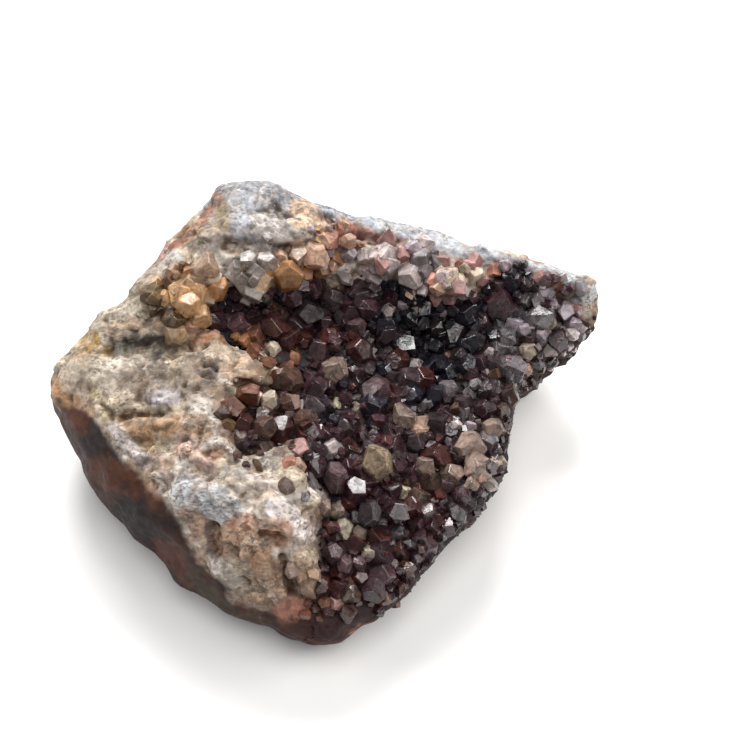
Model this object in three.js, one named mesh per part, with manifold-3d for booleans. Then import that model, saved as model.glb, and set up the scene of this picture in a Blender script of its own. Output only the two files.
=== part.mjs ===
// Druzy crystal cluster: a broken hand specimen of pale granular quartz rock whose upper side opens
// into a shallow hollow. A crust of dark quartz crystals lines the hollow and runs out over the right
// and front edges. Coarser pale crystals grow from the rock along the hollow's back lip.
// Millimetres, +Z up. The specimen lies on a flat cut base at z = 0, its origin is under the middle of
// its bounding box, +X runs along its longest side and -Y is the side that the hollow opens towards.
import * as THREE from 'three';
import { mergeVertices } from 'three/addons/utils/BufferGeometryUtils.js';
import { ConvexGeometry } from 'three/addons/geometries/ConvexGeometry.js';
import Module from 'manifold-3d';

const wasm = await Module();
wasm.setup();

// ---------------------------------------------------------------- driving dimensions

const MIDDLE = [0.4, 0.1]; // middle of the bounding box in the plan coordinates below
const STONE_DETAIL = 10; // icosphere detail of the rock: 20 * (detail + 1)^2 triangles
const BASE_SINK = 5; // how far the rounded foot would reach under the ground if it weren't cut flat
const SHOULDER_POWER = 4.5; // superellipse power of the profile above the widest level
const FOOT_POWER = 2.1; // and below it
const BACK_RISE = 10; // height of the back massif over the hollow's floor
const BACK_SLOPE = 7; // plan width of the slope between the two
const FRONT_RISE = 6; // height of the front plateau over the floor
const FRONT_SLOPE = 3.5;
const SPOT_REACH = 5.5; // how far a spot height spreads
const LUMP_SIZE = 9; // the rock's larger lumps
const LUMP_HEIGHT = 1.1;
const RIDGE_SIZE = 6; // sharp ridges with pits between them
const RIDGE_HEIGHT = 0.8;
const CRUST_THICKNESS = 1.4; // massive quartz under the crystals
const CRUST_FEATHER = 2.5; // plan width over which it thins out towards the pale rock
const FIT_GAP = 0.3; // between the rock and the crust that it carries
const CRYSTAL_PITCH = 3.9; // mean distance between the crust's crystals
const CRYSTAL_WIDTH = 4.1; // their mean width across
const TIP_FACE_SLOPE = THREE.MathUtils.degToRad(51.8); // a quartz crystal's tip faces from level
const OPEN_SIDE = new THREE.Vector3(0.1, -0.5, 0.86).normalize(); // where the hollow faces
const RIM_MARGIN = 1.2; // bare crust along the stone's outer edge
const SPREAD = 0.3; // how far crystals lean off the surface's normal at random
const TIP_SHIFT = 0.22; // how far a tip may lie off the prism's middle, as a share of its width

// Plan outline where the stone is widest, counter-clockwise from the +X side: [x, y, height there].
const OUTLINE = [
  [32, 1, 13],
  [33, 7, 13],
  [38, 11, 14],
  [44, 15, 15],
  [46, 19, 16],
  [45, 22, 17],
  [41, 27, 18],
  [34, 28, 18],
  [27, 30, 18],
  [19, 32, 19],
  [12, 34, 19],
  [3, 34, 19],
  [-6, 37, 20],
  [-13, 39, 20],
  [-19, 38, 20],
  [-24, 31, 19],
  [-31, 22, 18],
  [-39, 15, 17],
  [-44, 10, 16],
  [-46, 4, 15],
  [-44, -1, 13],
  [-41, -6, 11],
  [-37, -13, 10],
  [-31, -20, 9],
  [-24, -27, 8],
  [-15, -33, 8],
  [-8, -36, 8],
  [1, -38, 8],
  [8, -34, 8],
  [15, -27, 8],
  [20, -22, 9],
  [26, -16, 10],
  [30, -10, 11],
  [32, -5, 12],
];

// Spot heights of the rock under the crust, [x, y, z]. The two rises come on top of them.
const SPOT_HEIGHTS = [
  // back massif, left to right, then its lip over the hollow
  [-36, 11, 20],
  [-31, 17, 20],
  [-26, 18, 24],
  [-21, 23, 25.5],
  [-17, 33, 27],
  [-12, 25, 27],
  [-6, 22, 26.5],
  [1, 25, 24.5],
  [8, 26, 23],
  [16, 26, 21.5],
  [27, 24, 20],
  [35, 23, 19],
  [42, 19, 17],
  [-21, 16, 23],
  [-14, 17, 23],
  [-2, 20, 21],
  [20, 20, 18.5],
  // crease that runs left out of the hollow
  [-29, 9, 22],
  [-23, 12, 20],
  // front plateau
  [-40, 5, 20],
  [-35, 2, 21.5],
  [-30, -2, 23],
  [-23, -1, 25],
  [-17, 1, 25],
  [-10, 1, 23],
  [-20, -7, 24],
  [-26, -11, 22],
  [-31, -13, 19],
  [-15, -14, 23],
  // knob at its front end, and the slope below it
  [-21, -22, 23],
  [-16, -24, 25],
  [-9, -23, 25],
  [-3, -23, 23],
  [-11, -29, 22],
  [-19, -28, 19],
  [-5, -32, 18],
  [-16, -31, 17],
  [-11, -34, 13],
  [-5, -35, 12],
  // hollow's floor, back to front
  [-13, 16, 19],
  [-4, 17, 17],
  [4, 19, 17],
  [-4, 9, 21],
  [3, 4, 19],
  [13, 20, 16],
  [17, 17, 12.5],
  [22, 16, 13],
  [27, 17, 15.5],
  [34, 18, 19],
  [41, 17, 19],
  [42, 13, 17],
  [37, 10, 16],
  [30, 7, 14.5],
  [26, -1, 15.5],
  [18, 3, 15.5],
  [10, 2, 17],
  [-9, -5, 22],
  [1, -5, 20],
  [-5, -9, 22],
  [8, -13, 19],
  [16, -11, 18],
  [24, -11, 16],
  [5, -22, 18],
  [13, -21, 17],
  [19, -19, 13],
  [3, -28, 16],
  [11, -27, 14],
  [16, -25, 11],
  [1, -33, 12],
  [8, -32, 10],
];

// Plan edges of the two pale regions that stand over the crust. Their far corners lie off the stone.
const BACK_MASSIF = [
  [-60, 8],
  [-37, 8],
  [-31, 9],
  [-27, 12],
  [-22, 12],
  [-20, 14],
  [-17, 17],
  [-13, 17],
  [-10, 17],
  [-7, 18],
  [-4, 21],
  [1, 22],
  [4, 24],
  [8, 22],
  [13, 22],
  [15, 19],
  [20, 18],
  [24, 18],
  [28, 21],
  [31, 24],
  [34, 22],
  [38, 20],
  [42, 19],
  [60, 18],
  [60, 60],
  [-60, 60],
];
const FRONT_PLATEAU = [
  [-60, 8],
  [-37, 8],
  [-31, 9],
  [-27, 12],
  [-22, 12],
  [-18, 9],
  [-14, 7],
  [-11, 6],
  [-8, 4],
  [-5, 3],
  [-5, 1],
  [-8, 0],
  [-10, -2],
  [-14, -3],
  [-15, -5],
  [-16, -8],
  [-14, -10],
  [-13, -13],
  [-11, -12],
  [-8, -12],
  [-5, -11],
  [-3, -13],
  [-2, -17],
  [0, -19],
  [1, -21],
  [-1, -23],
  [-1, -26],
  [0, -28],
  [-1, -31],
  [-3, -33],
  [-5, -60],
  [-60, -60],
];

// Larger crystals of the dark crust, [x, y, width].
const LARGE_CRYSTALS = [
  [9.5, -12.2, 6.2],
  [13.7, -2.6, 4.6],
  [17.0, -5.0, 4.2],
  [-4.6, -3.4, 2.8],
  [-8.6, -6.1, 4.0],
  [-10.4, -2.4, 3.2],
  [20.6, 2.6, 3.6],
  [2.0, 4.3, 4.6],
  [2.5, -0.8, 3.2],
  [8.7, 3.4, 3.8],
  [1.8, -9.4, 3.0],
  [1.3, -14.3, 4.0],
  [12.8, -17.0, 2.8],
  [3.8, -21.6, 3.8],
  [7.6, -20.6, 3.4],
  [28.2, -8.6, 4.0],
  [26.0, -10.5, 4.4],
  [22.8, -7.6, 3.6],
  [18.2, -9.4, 3.8],
  [21.0, -12.6, 3.6],
  [33.4, 11.0, 3.4],
  [16.4, -17.4, 4.2],
  [11.9, -21.6, 3.2],
  [19.3, -19.4, 3.4],
  [-3.5, -13.6, 3.6],
  [-2.1, 17.0, 3.8],
  [1.6, 20.2, 3.4],
  [9.6, 18.5, 3.2],
  [15.7, 17.6, 3.2],
  [6.2, 11.1, 4.0],
  [-12.6, 15.0, 3.8],
  [-8.3, 14.2, 3.8],
  [-4.0, 11.2, 4.0],
  [-6.6, 7.2, 3.8],
  [4.6, -28.0, 4.0],
  [9.5, -28.6, 3.4],
  [37.3, 18.2, 3.2],
  [41.4, 16.0, 3.4],
  [25.2, 18.0, 3.4],
];

// Pale crystals that stand out of the rock, [x, y, width].
const PALE_CRYSTALS = [
  [-26.6, 14.7, 5.6],
  [-23.3, 13.7, 5.2],
  [-29.4, 13.4, 4.0],
  [-21.6, 16.4, 4.4],
  [-20.4, 19.4, 5.8],
  [-12.3, 18.8, 5.6],
  [-10.2, 17.2, 5.2],
  [-6.4, 19.6, 5.4],
  [-9.6, 23.2, 4.0],
  [-1.0, 23.6, 4.4],
  [3.4, 24.0, 5.0],
  [9.4, 24.0, 5.4],
  [14.8, 22.6, 4.4],
  [17.6, 24.0, 4.0],
  [21.4, 21.0, 5.6],
  [24.6, 22.8, 4.0],
  [1.8, 27.6, 4.0],
  [-4.2, 26.6, 4.2],
  [32.6, 23.2, 3.4],
  [-16.4, 12.4, 3.6],
  [-10.4, 4.2, 3.4],
  [-19.6, 8.6, 3.2],
  [-4.6, -19.2, 4.4],
  [-1.2, -21.4, 4.2],
  [-4.2, -12.4, 3.4],
  [-26.4, -16.6, 4.0],
];

// ---------------------------------------------------------------- numbers

// A repeatable number from 0 to 1 for three whole numbers.
function hash(i, j, k) {
  let h = Math.imul(i, 374761393) ^ Math.imul(j, 668265263) ^ Math.imul(k, 2147483647);
  h = Math.imul(h ^ (h >>> 13), 1274126177);
  return ((h ^ (h >>> 16)) >>> 0) / 4294967296;
}

// Smooth lattice noise from -1 to 1.
function noise(x, y, z) {
  const [i, j, k] = [Math.floor(x), Math.floor(y), Math.floor(z)];
  const ease = (t) => t * t * (3 - 2 * t);
  const [u, v, w] = [ease(x - i), ease(y - j), ease(z - k)];
  const { lerp } = THREE.MathUtils;
  const edge = (b, c) => lerp(hash(i, b, c), hash(i + 1, b, c), u);
  const face = (c) => lerp(edge(j, c), edge(j + 1, c), v);
  return 2 * lerp(face(k), face(k + 1), w) - 1;
}

// Signed distance to a closed plan outline, positive inside.
function depthInside(x, y, corners) {
  let nearest = Infinity;
  let inside = false;
  for (let a = 0, b = corners.length - 1; a < corners.length; b = a++) {
    const [ax, ay] = corners[a];
    const [bx, by] = corners[b];
    const along = ((x - ax) * (bx - ax) + (y - ay) * (by - ay)) / ((bx - ax) ** 2 + (by - ay) ** 2);
    const t = THREE.MathUtils.clamp(along, 0, 1);
    nearest = Math.min(nearest, Math.hypot(x - ax - t * (bx - ax), y - ay - t * (by - ay)));
    if (ay > y !== by > y && x < ((bx - ax) * (y - ay)) / (by - ay) + ax) inside = !inside;
  }
  return inside ? nearest : -nearest;
}

// ---------------------------------------------------------------- the rock's surface

const outlineCurve = new THREE.CatmullRomCurve3(
  OUTLINE.map((p) => new THREE.Vector3(...p)),
  true,
);
outlineCurve.arcLengthDivisions = 1000;

// Height of the rock's upper side before it rounds off towards the outline.
function topHeight(x, y) {
  let sum = 0;
  let weights = 0;
  for (const [sx, sy, sz] of SPOT_HEIGHTS) {
    const weight = Math.exp(-((x - sx) ** 2 + (y - sy) ** 2) / (2 * SPOT_REACH ** 2));
    sum += weight * sz;
    weights += weight;
  }
  const rise = (height, width, corners) => {
    const depth = depthInside(x, y, corners);
    return height * THREE.MathUtils.smoothstep(depth, -width / 2, width / 2);
  };
  const back = rise(BACK_RISE, BACK_SLOPE, BACK_MASSIF);
  const front = rise(FRONT_RISE, FRONT_SLOPE, FRONT_PLATEAU);
  return sum / weights + back + front;
}

// Depth of a plan point inside the region that the crystals cover, negative on the pale rock.
function depthInDruse(x, y) {
  return Math.min(-depthInside(x, y, BACK_MASSIF), -depthInside(x, y, FRONT_PLATEAU));
}

// The upright profile as points [reach, lift]: reach is the share of the outline's radius, and lift runs
// from 1 at the crown over 0 at the widest level to -1 at the foot. They are evenly spaced on the stone.
const profile = (() => {
  const points = [];
  for (let i = 0; i <= 400; i++) {
    const turn = (i / 400) * Math.PI;
    const power = turn < Math.PI / 2 ? SHOULDER_POWER : FOOT_POWER;
    const reach = Math.abs(Math.sin(turn)) ** (2 / power);
    const lift = Math.sign(Math.cos(turn)) * Math.abs(Math.cos(turn)) ** (2 / power);
    points.push(new THREE.Vector2(reach, lift));
  }
  const half = new THREE.Vector2(38, 17); // mean half-width and half-height, to measure along the stone
  const lengths = [0];
  for (let i = 1; i < points.length; i++) {
    const step = points[i].clone().sub(points[i - 1]).multiply(half);
    lengths.push(lengths[i - 1] + step.length());
  }
  return { points, lengths };
})();

// Profile point at a share of the way from the crown to the foot.
function profileAt(share) {
  const wanted = share * profile.lengths.at(-1);
  let i = profile.lengths.findIndex((length) => length >= wanted);
  i = Math.max(i, 1);
  const span = profile.lengths[i] - profile.lengths[i - 1];
  return profile.points[i - 1].clone().lerp(profile.points[i], (wanted - profile.lengths[i - 1]) / span);
}

// Point of the rock's smooth surface for a direction from its middle, and its lift in the profile. Turning
// once round the middle follows the outline at an even pace.
function stonePoint(direction) {
  const turn = Math.atan2(direction.y, direction.x) / (2 * Math.PI);
  const { x: reach, y: lift } = profileAt(Math.acos(THREE.MathUtils.clamp(direction.z, -1, 1)) / Math.PI);
  const rim = outlineCurve.getPointAt((turn + 1) % 1);
  const x = reach * rim.x;
  const y = reach * rim.y;
  const z = lift > 0 ? rim.z + (topHeight(x, y) - rim.z) * lift : rim.z + (rim.z + BASE_SINK) * lift;
  return { point: new THREE.Vector3(x, y, z), lift };
}

// ---------------------------------------------------------------- solids

// A closed geometry whose vertices are shared, as a manifold-3d solid.
function solid(geometry) {
  const bare = geometry.clone();
  bare.deleteAttribute('normal');
  bare.deleteAttribute('uv');
  const merged = mergeVertices(bare, 1e-4);
  const mesh = new wasm.Mesh({
    numProp: 3,
    vertProperties: merged.attributes.position.array,
    triVerts: new Uint32Array(merged.index.array),
  });
  return new wasm.Manifold(mesh);
}

// The largest connected body of a solid, without the crumbs that a cut leaves.
function largestBody(manifold) {
  return manifold.decompose().reduce((a, b) => (b.volume() > a.volume() ? b : a));
}

function geometryOf(manifold) {
  const mesh = manifold.getMesh();
  const geometry = new THREE.BufferGeometry();
  geometry.setAttribute('position', new THREE.BufferAttribute(mesh.vertProperties, 3));
  geometry.setIndex(new THREE.BufferAttribute(mesh.triVerts, 1));
  geometry.computeVertexNormals();
  return geometry;
}

// The rock's rough surface, and for each vertex how thick the crust stands on it.
function stoneSurface() {
  const sphere = new THREE.IcosahedronGeometry(1, STONE_DETAIL);
  sphere.deleteAttribute('normal');
  sphere.deleteAttribute('uv');
  const geometry = mergeVertices(sphere, 1e-5);
  const position = geometry.attributes.position;
  const crust = [];
  for (let i = 0; i < position.count; i++) {
    const direction = new THREE.Vector3().fromBufferAttribute(position, i);
    const { point, lift } = stonePoint(direction);
    const inward = THREE.MathUtils.smoothstep(depthInDruse(point.x, point.y), 0, CRUST_FEATHER);
    crust.push(CRUST_THICKNESS * inward * THREE.MathUtils.smoothstep(lift, 0.05, 0.45));
    position.setXYZ(i, point.x, point.y, point.z);
  }
  geometry.computeVertexNormals();
  const normal = geometry.attributes.normal;
  for (let i = 0; i < position.count; i++) {
    const point = new THREE.Vector3().fromBufferAttribute(position, i);
    const lumps = LUMP_HEIGHT * noise(...point.clone().divideScalar(LUMP_SIZE));
    const ridges = RIDGE_HEIGHT * (0.6 - 2 * Math.abs(noise(...point.clone().divideScalar(RIDGE_SIZE))));
    point.addScaledVector(new THREE.Vector3().fromBufferAttribute(normal, i), lumps + ridges);
    position.setXYZ(i, ...point);
  }
  geometry.computeVertexNormals();
  return { geometry, crust };
}

// The same surface moved out along its normals, by one distance or by one for each vertex.
function swollen(geometry, distance) {
  const grown = geometry.clone();
  const { position, normal } = geometry.attributes;
  for (let i = 0; i < position.count; i++) {
    const point = new THREE.Vector3().fromBufferAttribute(position, i);
    const by = Array.isArray(distance) ? distance[i] : distance;
    point.addScaledVector(new THREE.Vector3().fromBufferAttribute(normal, i), by);
    grown.attributes.position.setXYZ(i, ...point);
  }
  return grown;
}

// ---------------------------------------------------------------- crystals

// A quartz crystal that points up: a six-sided prism that reaches from -root to z = 0, and six tip faces
// that meet off its middle, so that some are wide and some are narrow.
function quartz(seed, width, root, grow) {
  const corners = [];
  for (let side = 0; side < 6; side++) {
    const turn = (side * Math.PI) / 3;
    const radius = (width / Math.sqrt(3)) * (0.88 + 0.24 * hash(seed, side, 1)) + 1.3 * grow;
    const corner = new THREE.Vector3(radius * Math.cos(turn), radius * Math.sin(turn), 0);
    corners.push(corner, corner.clone().setZ(-root - grow));
  }
  const tipTurn = 2 * Math.PI * hash(seed, 6, 1);
  const tipShift = TIP_SHIFT * width * hash(seed, 7, 1);
  const tipRise = (width / 2) * Math.tan(TIP_FACE_SLOPE) + 1.7 * grow;
  corners.push(new THREE.Vector3(tipShift * Math.cos(tipTurn), tipShift * Math.sin(tipTurn), tipRise));
  return new ConvexGeometry(corners);
}

const raycaster = new THREE.Raycaster();

// Where a line from outside first meets the rock: the point and the surface's normal.
function seatOn(surface, through, outward) {
  raycaster.set(through.clone().addScaledVector(outward, 150), outward.clone().negate());
  const [hit] = raycaster.intersectObject(surface);
  return hit && { point: hit.point, normal: hit.face.normal };
}

// A crystal on its seat. It leans from the surface's normal towards the open side, and a little at random.
function planted(seat, height, grow = 0) {
  const { seed, width } = seat;
  const lean = (channel) => SPREAD * (2 * hash(seed, channel, 7) - 1);
  const axis = seat.normal.clone().addScaledVector(OPEN_SIDE, 0.35);
  axis.add(new THREE.Vector3(lean(1), lean(2), lean(3))).normalize();
  const geometry = quartz(seed, width, height + width / 3, grow);
  geometry.rotateZ(2 * Math.PI * hash(seed, 4, 7));
  geometry.applyQuaternion(new THREE.Quaternion().setFromUnitVectors(new THREE.Vector3(0, 0, 1), axis));
  geometry.translate(...seat.point.clone().addScaledVector(axis, height));
  return geometry;
}

// Seats for the crust's crystals: the large ones first, then a jittered triangular grid between them.
function crustSeats(surface) {
  const seats = [];
  LARGE_CRYSTALS.forEach(([x, y, width], i) => {
    const seat = seatOn(surface, new THREE.Vector3(x, y, 0), new THREE.Vector3(0, 0, 1));
    seats.push({ ...seat, width, seed: 1000 + i });
  });
  const along = new THREE.Vector3(1, 0, 0).projectOnPlane(OPEN_SIDE).normalize();
  const across = OPEN_SIDE.clone().cross(along);
  for (let j = -20; j <= 20; j++) {
    for (let i = -20; i <= 20; i++) {
      const seed = 100 * (j + 40) + i + 40;
      const a = (i + (j % 2) / 2 + 0.4 * (hash(seed, 1, 3) - 0.5)) * CRYSTAL_PITCH;
      const b = (j * Math.sqrt(0.75) + 0.4 * (hash(seed, 2, 3) - 0.5)) * CRYSTAL_PITCH;
      const through = new THREE.Vector3(0, 0, 18).addScaledVector(along, a).addScaledVector(across, b);
      const seat = seatOn(surface, through, OPEN_SIDE);
      if (!seat || depthInDruse(seat.point.x, seat.point.y) < 1) continue;
      if (depthInside(seat.point.x, seat.point.y, OUTLINE) < RIM_MARGIN) continue;
      const width = CRYSTAL_WIDTH * (0.8 + 0.4 * hash(seed, 3, 3));
      const clear = (other) => other.point.distanceTo(seat.point) > 0.38 * (other.width + width);
      if (seats.every(clear)) seats.push({ ...seat, width, seed });
    }
  }
  return seats;
}

function paleSeats(surface) {
  return PALE_CRYSTALS.map(([x, y, width], i) => {
    const seat = seatOn(surface, new THREE.Vector3(x, y, 0), new THREE.Vector3(0, 0, 1));
    return { ...seat, width, seed: 3000 + i };
  });
}

// ---------------------------------------------------------------- joining and cutting

const stone = stoneSurface();
const ground = solid(new THREE.BoxGeometry(200, 200, 40).translate(0, 0, -20));
const surface = new THREE.Mesh(stone.geometry);
const pale = paleSeats(surface);
const paleSolids = (grow) => pale.map((seat) => solid(planted(seat, -0.08 * seat.width, grow)));
const rock = wasm.Manifold.union([solid(stone.geometry), ...paleSolids(0)]).subtract(ground);
const grownRock = wasm.Manifold.union([solid(swollen(stone.geometry, FIT_GAP)), ...paleSolids(FIT_GAP)]);

const crystals = crustSeats(surface).map((seat) => {
  const raised = { ...seat, point: seat.point.clone().addScaledVector(seat.normal, CRUST_THICKNESS) };
  return solid(planted(raised, 0.1 * (seat.width - CRYSTAL_WIDTH)));
});
const crustLayer = solid(swollen(stone.geometry, stone.crust));
const crust = largestBody(wasm.Manifold.union([crustLayer, ...crystals]).subtract(grownRock));

// ---------------------------------------------------------------- nodes

function node(name, manifold, look) {
  const material = new THREE.MeshStandardMaterial(look);
  const mesh = new THREE.Mesh(geometryOf(manifold), material);
  mesh.name = name;
  return mesh;
}

const cluster = new THREE.Group();
cluster.position.set(-MIDDLE[0], -MIDDLE[1], 0);
cluster.add(node('matrix_rock', rock, { color: 0xc9bfae, roughness: 0.9, metalness: 0 }));
cluster.add(node('crystal_crust', crust, { color: 0x4a3036, roughness: 0.25, metalness: 0 }));

export default cluster;
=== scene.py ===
import itertools
import math

import bmesh
import bpy
import numpy as np
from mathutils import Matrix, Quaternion, Vector
from mathutils.bvhtree import BVHTree


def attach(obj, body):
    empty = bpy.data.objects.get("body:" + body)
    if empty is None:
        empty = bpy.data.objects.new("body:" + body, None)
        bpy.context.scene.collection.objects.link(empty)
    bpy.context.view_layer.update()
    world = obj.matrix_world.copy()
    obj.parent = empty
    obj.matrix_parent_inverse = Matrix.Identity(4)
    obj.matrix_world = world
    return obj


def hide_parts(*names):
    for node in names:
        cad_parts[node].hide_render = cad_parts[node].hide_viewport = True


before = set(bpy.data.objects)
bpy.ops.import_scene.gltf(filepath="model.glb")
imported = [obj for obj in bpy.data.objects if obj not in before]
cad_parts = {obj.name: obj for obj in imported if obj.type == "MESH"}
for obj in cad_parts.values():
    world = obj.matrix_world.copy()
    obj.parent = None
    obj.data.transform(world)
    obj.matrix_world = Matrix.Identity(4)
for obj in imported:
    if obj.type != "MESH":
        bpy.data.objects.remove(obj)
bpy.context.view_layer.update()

# Druzy crystal cluster: a pale matrix rock whose hollow is lined with dark quartz.
# Lengths are in millimetres here, and become metres when a mesh is made.
MM = 0.001
OPEN_SIDE = Vector((0.1, -0.5, 0.86)).normalized()  # where the hollow faces
FULL_TURN = 6.283

ROCK_VOXEL = 0.38
ROCK_TRIANGLES = 190000
BED_VOXEL = 0.6
ROOT = 0.55  # how far a crystal runs on below its seat, in its own widths
GAP = 1.2  # the widest gap between the crust's underside and the rock
TIP_SLOPE = math.radians(51.8)  # a quartz crystal's tip faces, from level
EDGE_PAINTED_HIGHLIGHT = 1.15  # painted highlight: how much lighter a crystal's narrow chamfers are painted, as edges that catch the light
SETTLING_STEP = 0.13  # how far a crystal that doesn't fit is moved at a time, in its own widths

# Rays from a grid in front of the hollow find where crystals sit. The grid's middle is GRID_HEIGHT
# out from MIDDLE, and it runs past the object's edges.
MIDDLE = Vector((0, 0, 18))
GRID_HEIGHT = 120
GRID_REACH = 66
GRID_SHAKE = 0.32  # how far each ray is moved at random, in the grid's own pitch
OUTLINE_RAY = 150  # how far in front of a crystal the rays that look for the outline start

# The camera, and the photograph's frame of FRAME x FRAME pixels that it makes. AIM is the point
# that the middle of the frame shows.
FRAME = 732
LENS = 96
SENSOR = 36
ELEVATION = math.radians(58)
DISTANCE = 330
RIGHT = np.array([1.0, 0.0, 0.0])
FORWARD = np.array([0.0, math.cos(ELEVATION), -math.sin(ELEVATION)])
UP = np.cross(RIGHT, FORWARD)
AIM = np.array([-0.4, -0.1, 17.0]) + 7.185 * RIGHT + 7.692 * UP
EYE = AIM - DISTANCE * FORWARD
FOCAL = LENS / SENSOR * FRAME

# Where the outline is moved a little: column, row and radius in the frame, then the way right and
# up in millimetres. The rock and the crust move together, and the crystals are set on them after.
NUDGES = [
    (205, 204, 30, 0.9, -0.9),
    (135, 278, 34, -0.8, 0.8),
    (80, 340, 32, 0.6, -0.6),
    (54, 388, 32, -1.2, 0.0),
    (552, 262, 42, -0.3, -1.3),
    (592, 290, 26, 1.5, 0.6),
    (598, 328, 26, 1.0, 0.0),
    (572, 358, 22, 0.6, -0.7),
    (514, 440, 30, -1.0, 0.0),
    (485, 508, 24, -0.4, 0.4),
    (402, 597, 28, 0.7, -0.7),
    (358, 633, 22, -0.5, 0.6),
    (285, 635, 20, 0.0, -0.7),
    (158, 562, 36, 1.0, 1.0),
    (86, 478, 20, -0.5, -0.3),
]


def in_frame(points):
    """Column and row of each point in the photograph's frame."""
    away = points - EYE
    depth = away @ FORWARD
    columns = FRAME / 2 + FOCAL * (away @ RIGHT) / depth
    rows = FRAME / 2 - FOCAL * (away @ UP) / depth
    return np.stack([columns, rows], -1)


def nudged(points):
    """The points, moved where the outline is moved."""
    places = in_frame(points)
    for column, row, radius, right, up in NUDGES:
        away = np.linalg.norm(places - (column, row), axis=1) / radius
        points = points + (1 - ramp(away, 0.2, 1.0))[:, None] * (right * RIGHT + up * UP)
    return points


def sight(column, row):
    """Direction from the camera through a pixel of the photograph's frame."""
    way = FORWARD + RIGHT * (column - FRAME / 2) / FOCAL + UP * (FRAME / 2 - row) / FOCAL
    return Vector(way / np.linalg.norm(way))


# ---------------------------------------------------------------- numbers

def lattice(cell, seed):
    """A random number from 0 to 1 for each of an array of whole-number cells."""
    c = (cell.astype(np.int64) + 4096).astype(np.uint64)
    h = (c[..., 0] * 73856093) ^ (c[..., 1] * 19349663) ^ (c[..., 2] * 83492791)
    h = (h + np.uint64(seed * 2654435761 % (1 << 32))) & np.uint64(0xFFFFFFFF)
    h = ((h ^ (h >> np.uint64(15))) * np.uint64(2246822519)) & np.uint64(0xFFFFFFFF)
    h = ((h ^ (h >> np.uint64(13))) * np.uint64(3266489917)) & np.uint64(0xFFFFFFFF)
    return ((h ^ (h >> np.uint64(16))) & np.uint64(0xFFFFFF)) / float(0x1000000)


def lattice_vectors(cell, seed):
    """Three random numbers from 0 to 1 for each cell."""
    return np.stack([lattice(cell, seed + axis) for axis in range(3)], -1)


def value_noise(points, size, seed):
    """Smooth noise from -1 to 1."""
    q = points / size
    base = np.floor(q)
    t = q - base
    t = t * t * (3 - 2 * t)
    total = np.zeros(len(points))
    for corner in itertools.product((0, 1), repeat=3):
        weight = np.ones(len(points))
        for axis in range(3):
            weight *= t[:, axis] if corner[axis] else 1 - t[:, axis]
        total += weight * lattice(base + corner, seed)
    return 2 * total - 1


def fractal(points, size, seed, octaves):
    """Cloudy noise from about -1 to 1, whose broadest lumps are size across."""
    total = np.zeros(len(points))
    for octave in range(octaves):
        total += 0.5 ** octave * value_noise(points, size * 0.5 ** octave, seed + octave)
    return total / 1.5


def drift(points, size, seed, octaves, axes):
    """A noise vector for each point, with the given number of axes."""
    return np.stack([fractal(points, size, seed + axis, octaves) for axis in range(axes)], -1)


def cells_round(points, size, seed):
    """Yields the 27 cells round each point, and the way to a random spot in each, in cell sizes."""
    q = points / size
    base = np.floor(q)
    for step in itertools.product((-1, 0, 1), repeat=3):
        cell = base + step
        yield cell, cell + lattice_vectors(cell, seed) - q


def grain_numbers(points, size, seed):
    """A random number from 0 to 1 for each point's grain. Grains are about size across."""
    nearest = np.full(len(points), 9.0)
    number = np.zeros(len(points))
    for cell, way in cells_round(points, size, seed):
        distance = np.linalg.norm(way, axis=1)
        closer = distance < nearest
        number = np.where(closer, lattice(cell, seed + 9), number)
        nearest = np.where(closer, distance, nearest)
    return number


def ramp(x, low, high):
    """0 below low, 1 above high, and smooth between them."""
    t = np.clip((x - low) / (high - low), 0, 1)
    return t * t * (3 - 2 * t)


def mixed(a, b, share):
    """Colours a with a share of b, one share for each point."""
    return a + (np.asarray(b) - a) * np.asarray(share)[..., None]


# ---------------------------------------------------------------- meshes

def arrays(obj):
    """Vertices in millimetres and triangles of a mesh object."""
    mesh = obj.data
    mesh.calc_loop_triangles()
    tris = np.empty(len(mesh.loop_triangles) * 3, np.int32)
    mesh.loop_triangles.foreach_get("vertices", tris)
    return points_of(mesh), tris.reshape(-1, 3)


def tree_of(obj):
    """A tree of the object's triangles, in millimetres, to cast rays at."""
    points, tris = arrays(obj)
    return BVHTree.FromPolygons([Vector(p) for p in points], tris.tolist())


def linked(name, data):
    """A new object in the scene, with a mesh, a light or a camera as its data."""
    obj = bpy.data.objects.new(name, data)
    bpy.context.scene.collection.objects.link(obj)
    return obj


def applied(obj, name):
    """A smooth object whose mesh is obj's with its modifiers applied. obj itself is removed."""
    graph = bpy.context.evaluated_depsgraph_get()
    mesh = bpy.data.meshes.new_from_object(obj.evaluated_get(graph))
    bpy.data.objects.remove(obj)
    mesh.materials.clear()
    mesh.polygons.foreach_set("use_smooth", [True] * len(mesh.polygons))
    return linked(name, mesh)


def remeshed(source, voxel, name):
    """A closed, evenly meshed copy of a CAD node."""
    copy = linked(name + "_raw", source.data.copy())
    modifier = copy.modifiers.new("voxels", "REMESH")
    modifier.mode = "VOXEL"
    modifier.voxel_size = voxel * MM
    return applied(copy, name)


def thinned(obj, count):
    """The same form with about count triangles."""
    modifier = obj.modifiers.new("thin", "DECIMATE")
    modifier.ratio = count / (2 * len(obj.data.polygons))
    return applied(obj, obj.name)


def points_of(mesh):
    """The vertices, in millimetres."""
    co = np.empty(len(mesh.vertices) * 3)
    mesh.vertices.foreach_get("co", co)
    return co.reshape(-1, 3) / MM


def set_points(mesh, points):
    mesh.vertices.foreach_set("co", (points * MM).ravel())
    mesh.update()


def normals_of(mesh):
    out = np.empty(len(mesh.vertices) * 3)
    mesh.vertex_normals.foreach_get("vector", out)
    return out.reshape(-1, 3)


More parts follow.
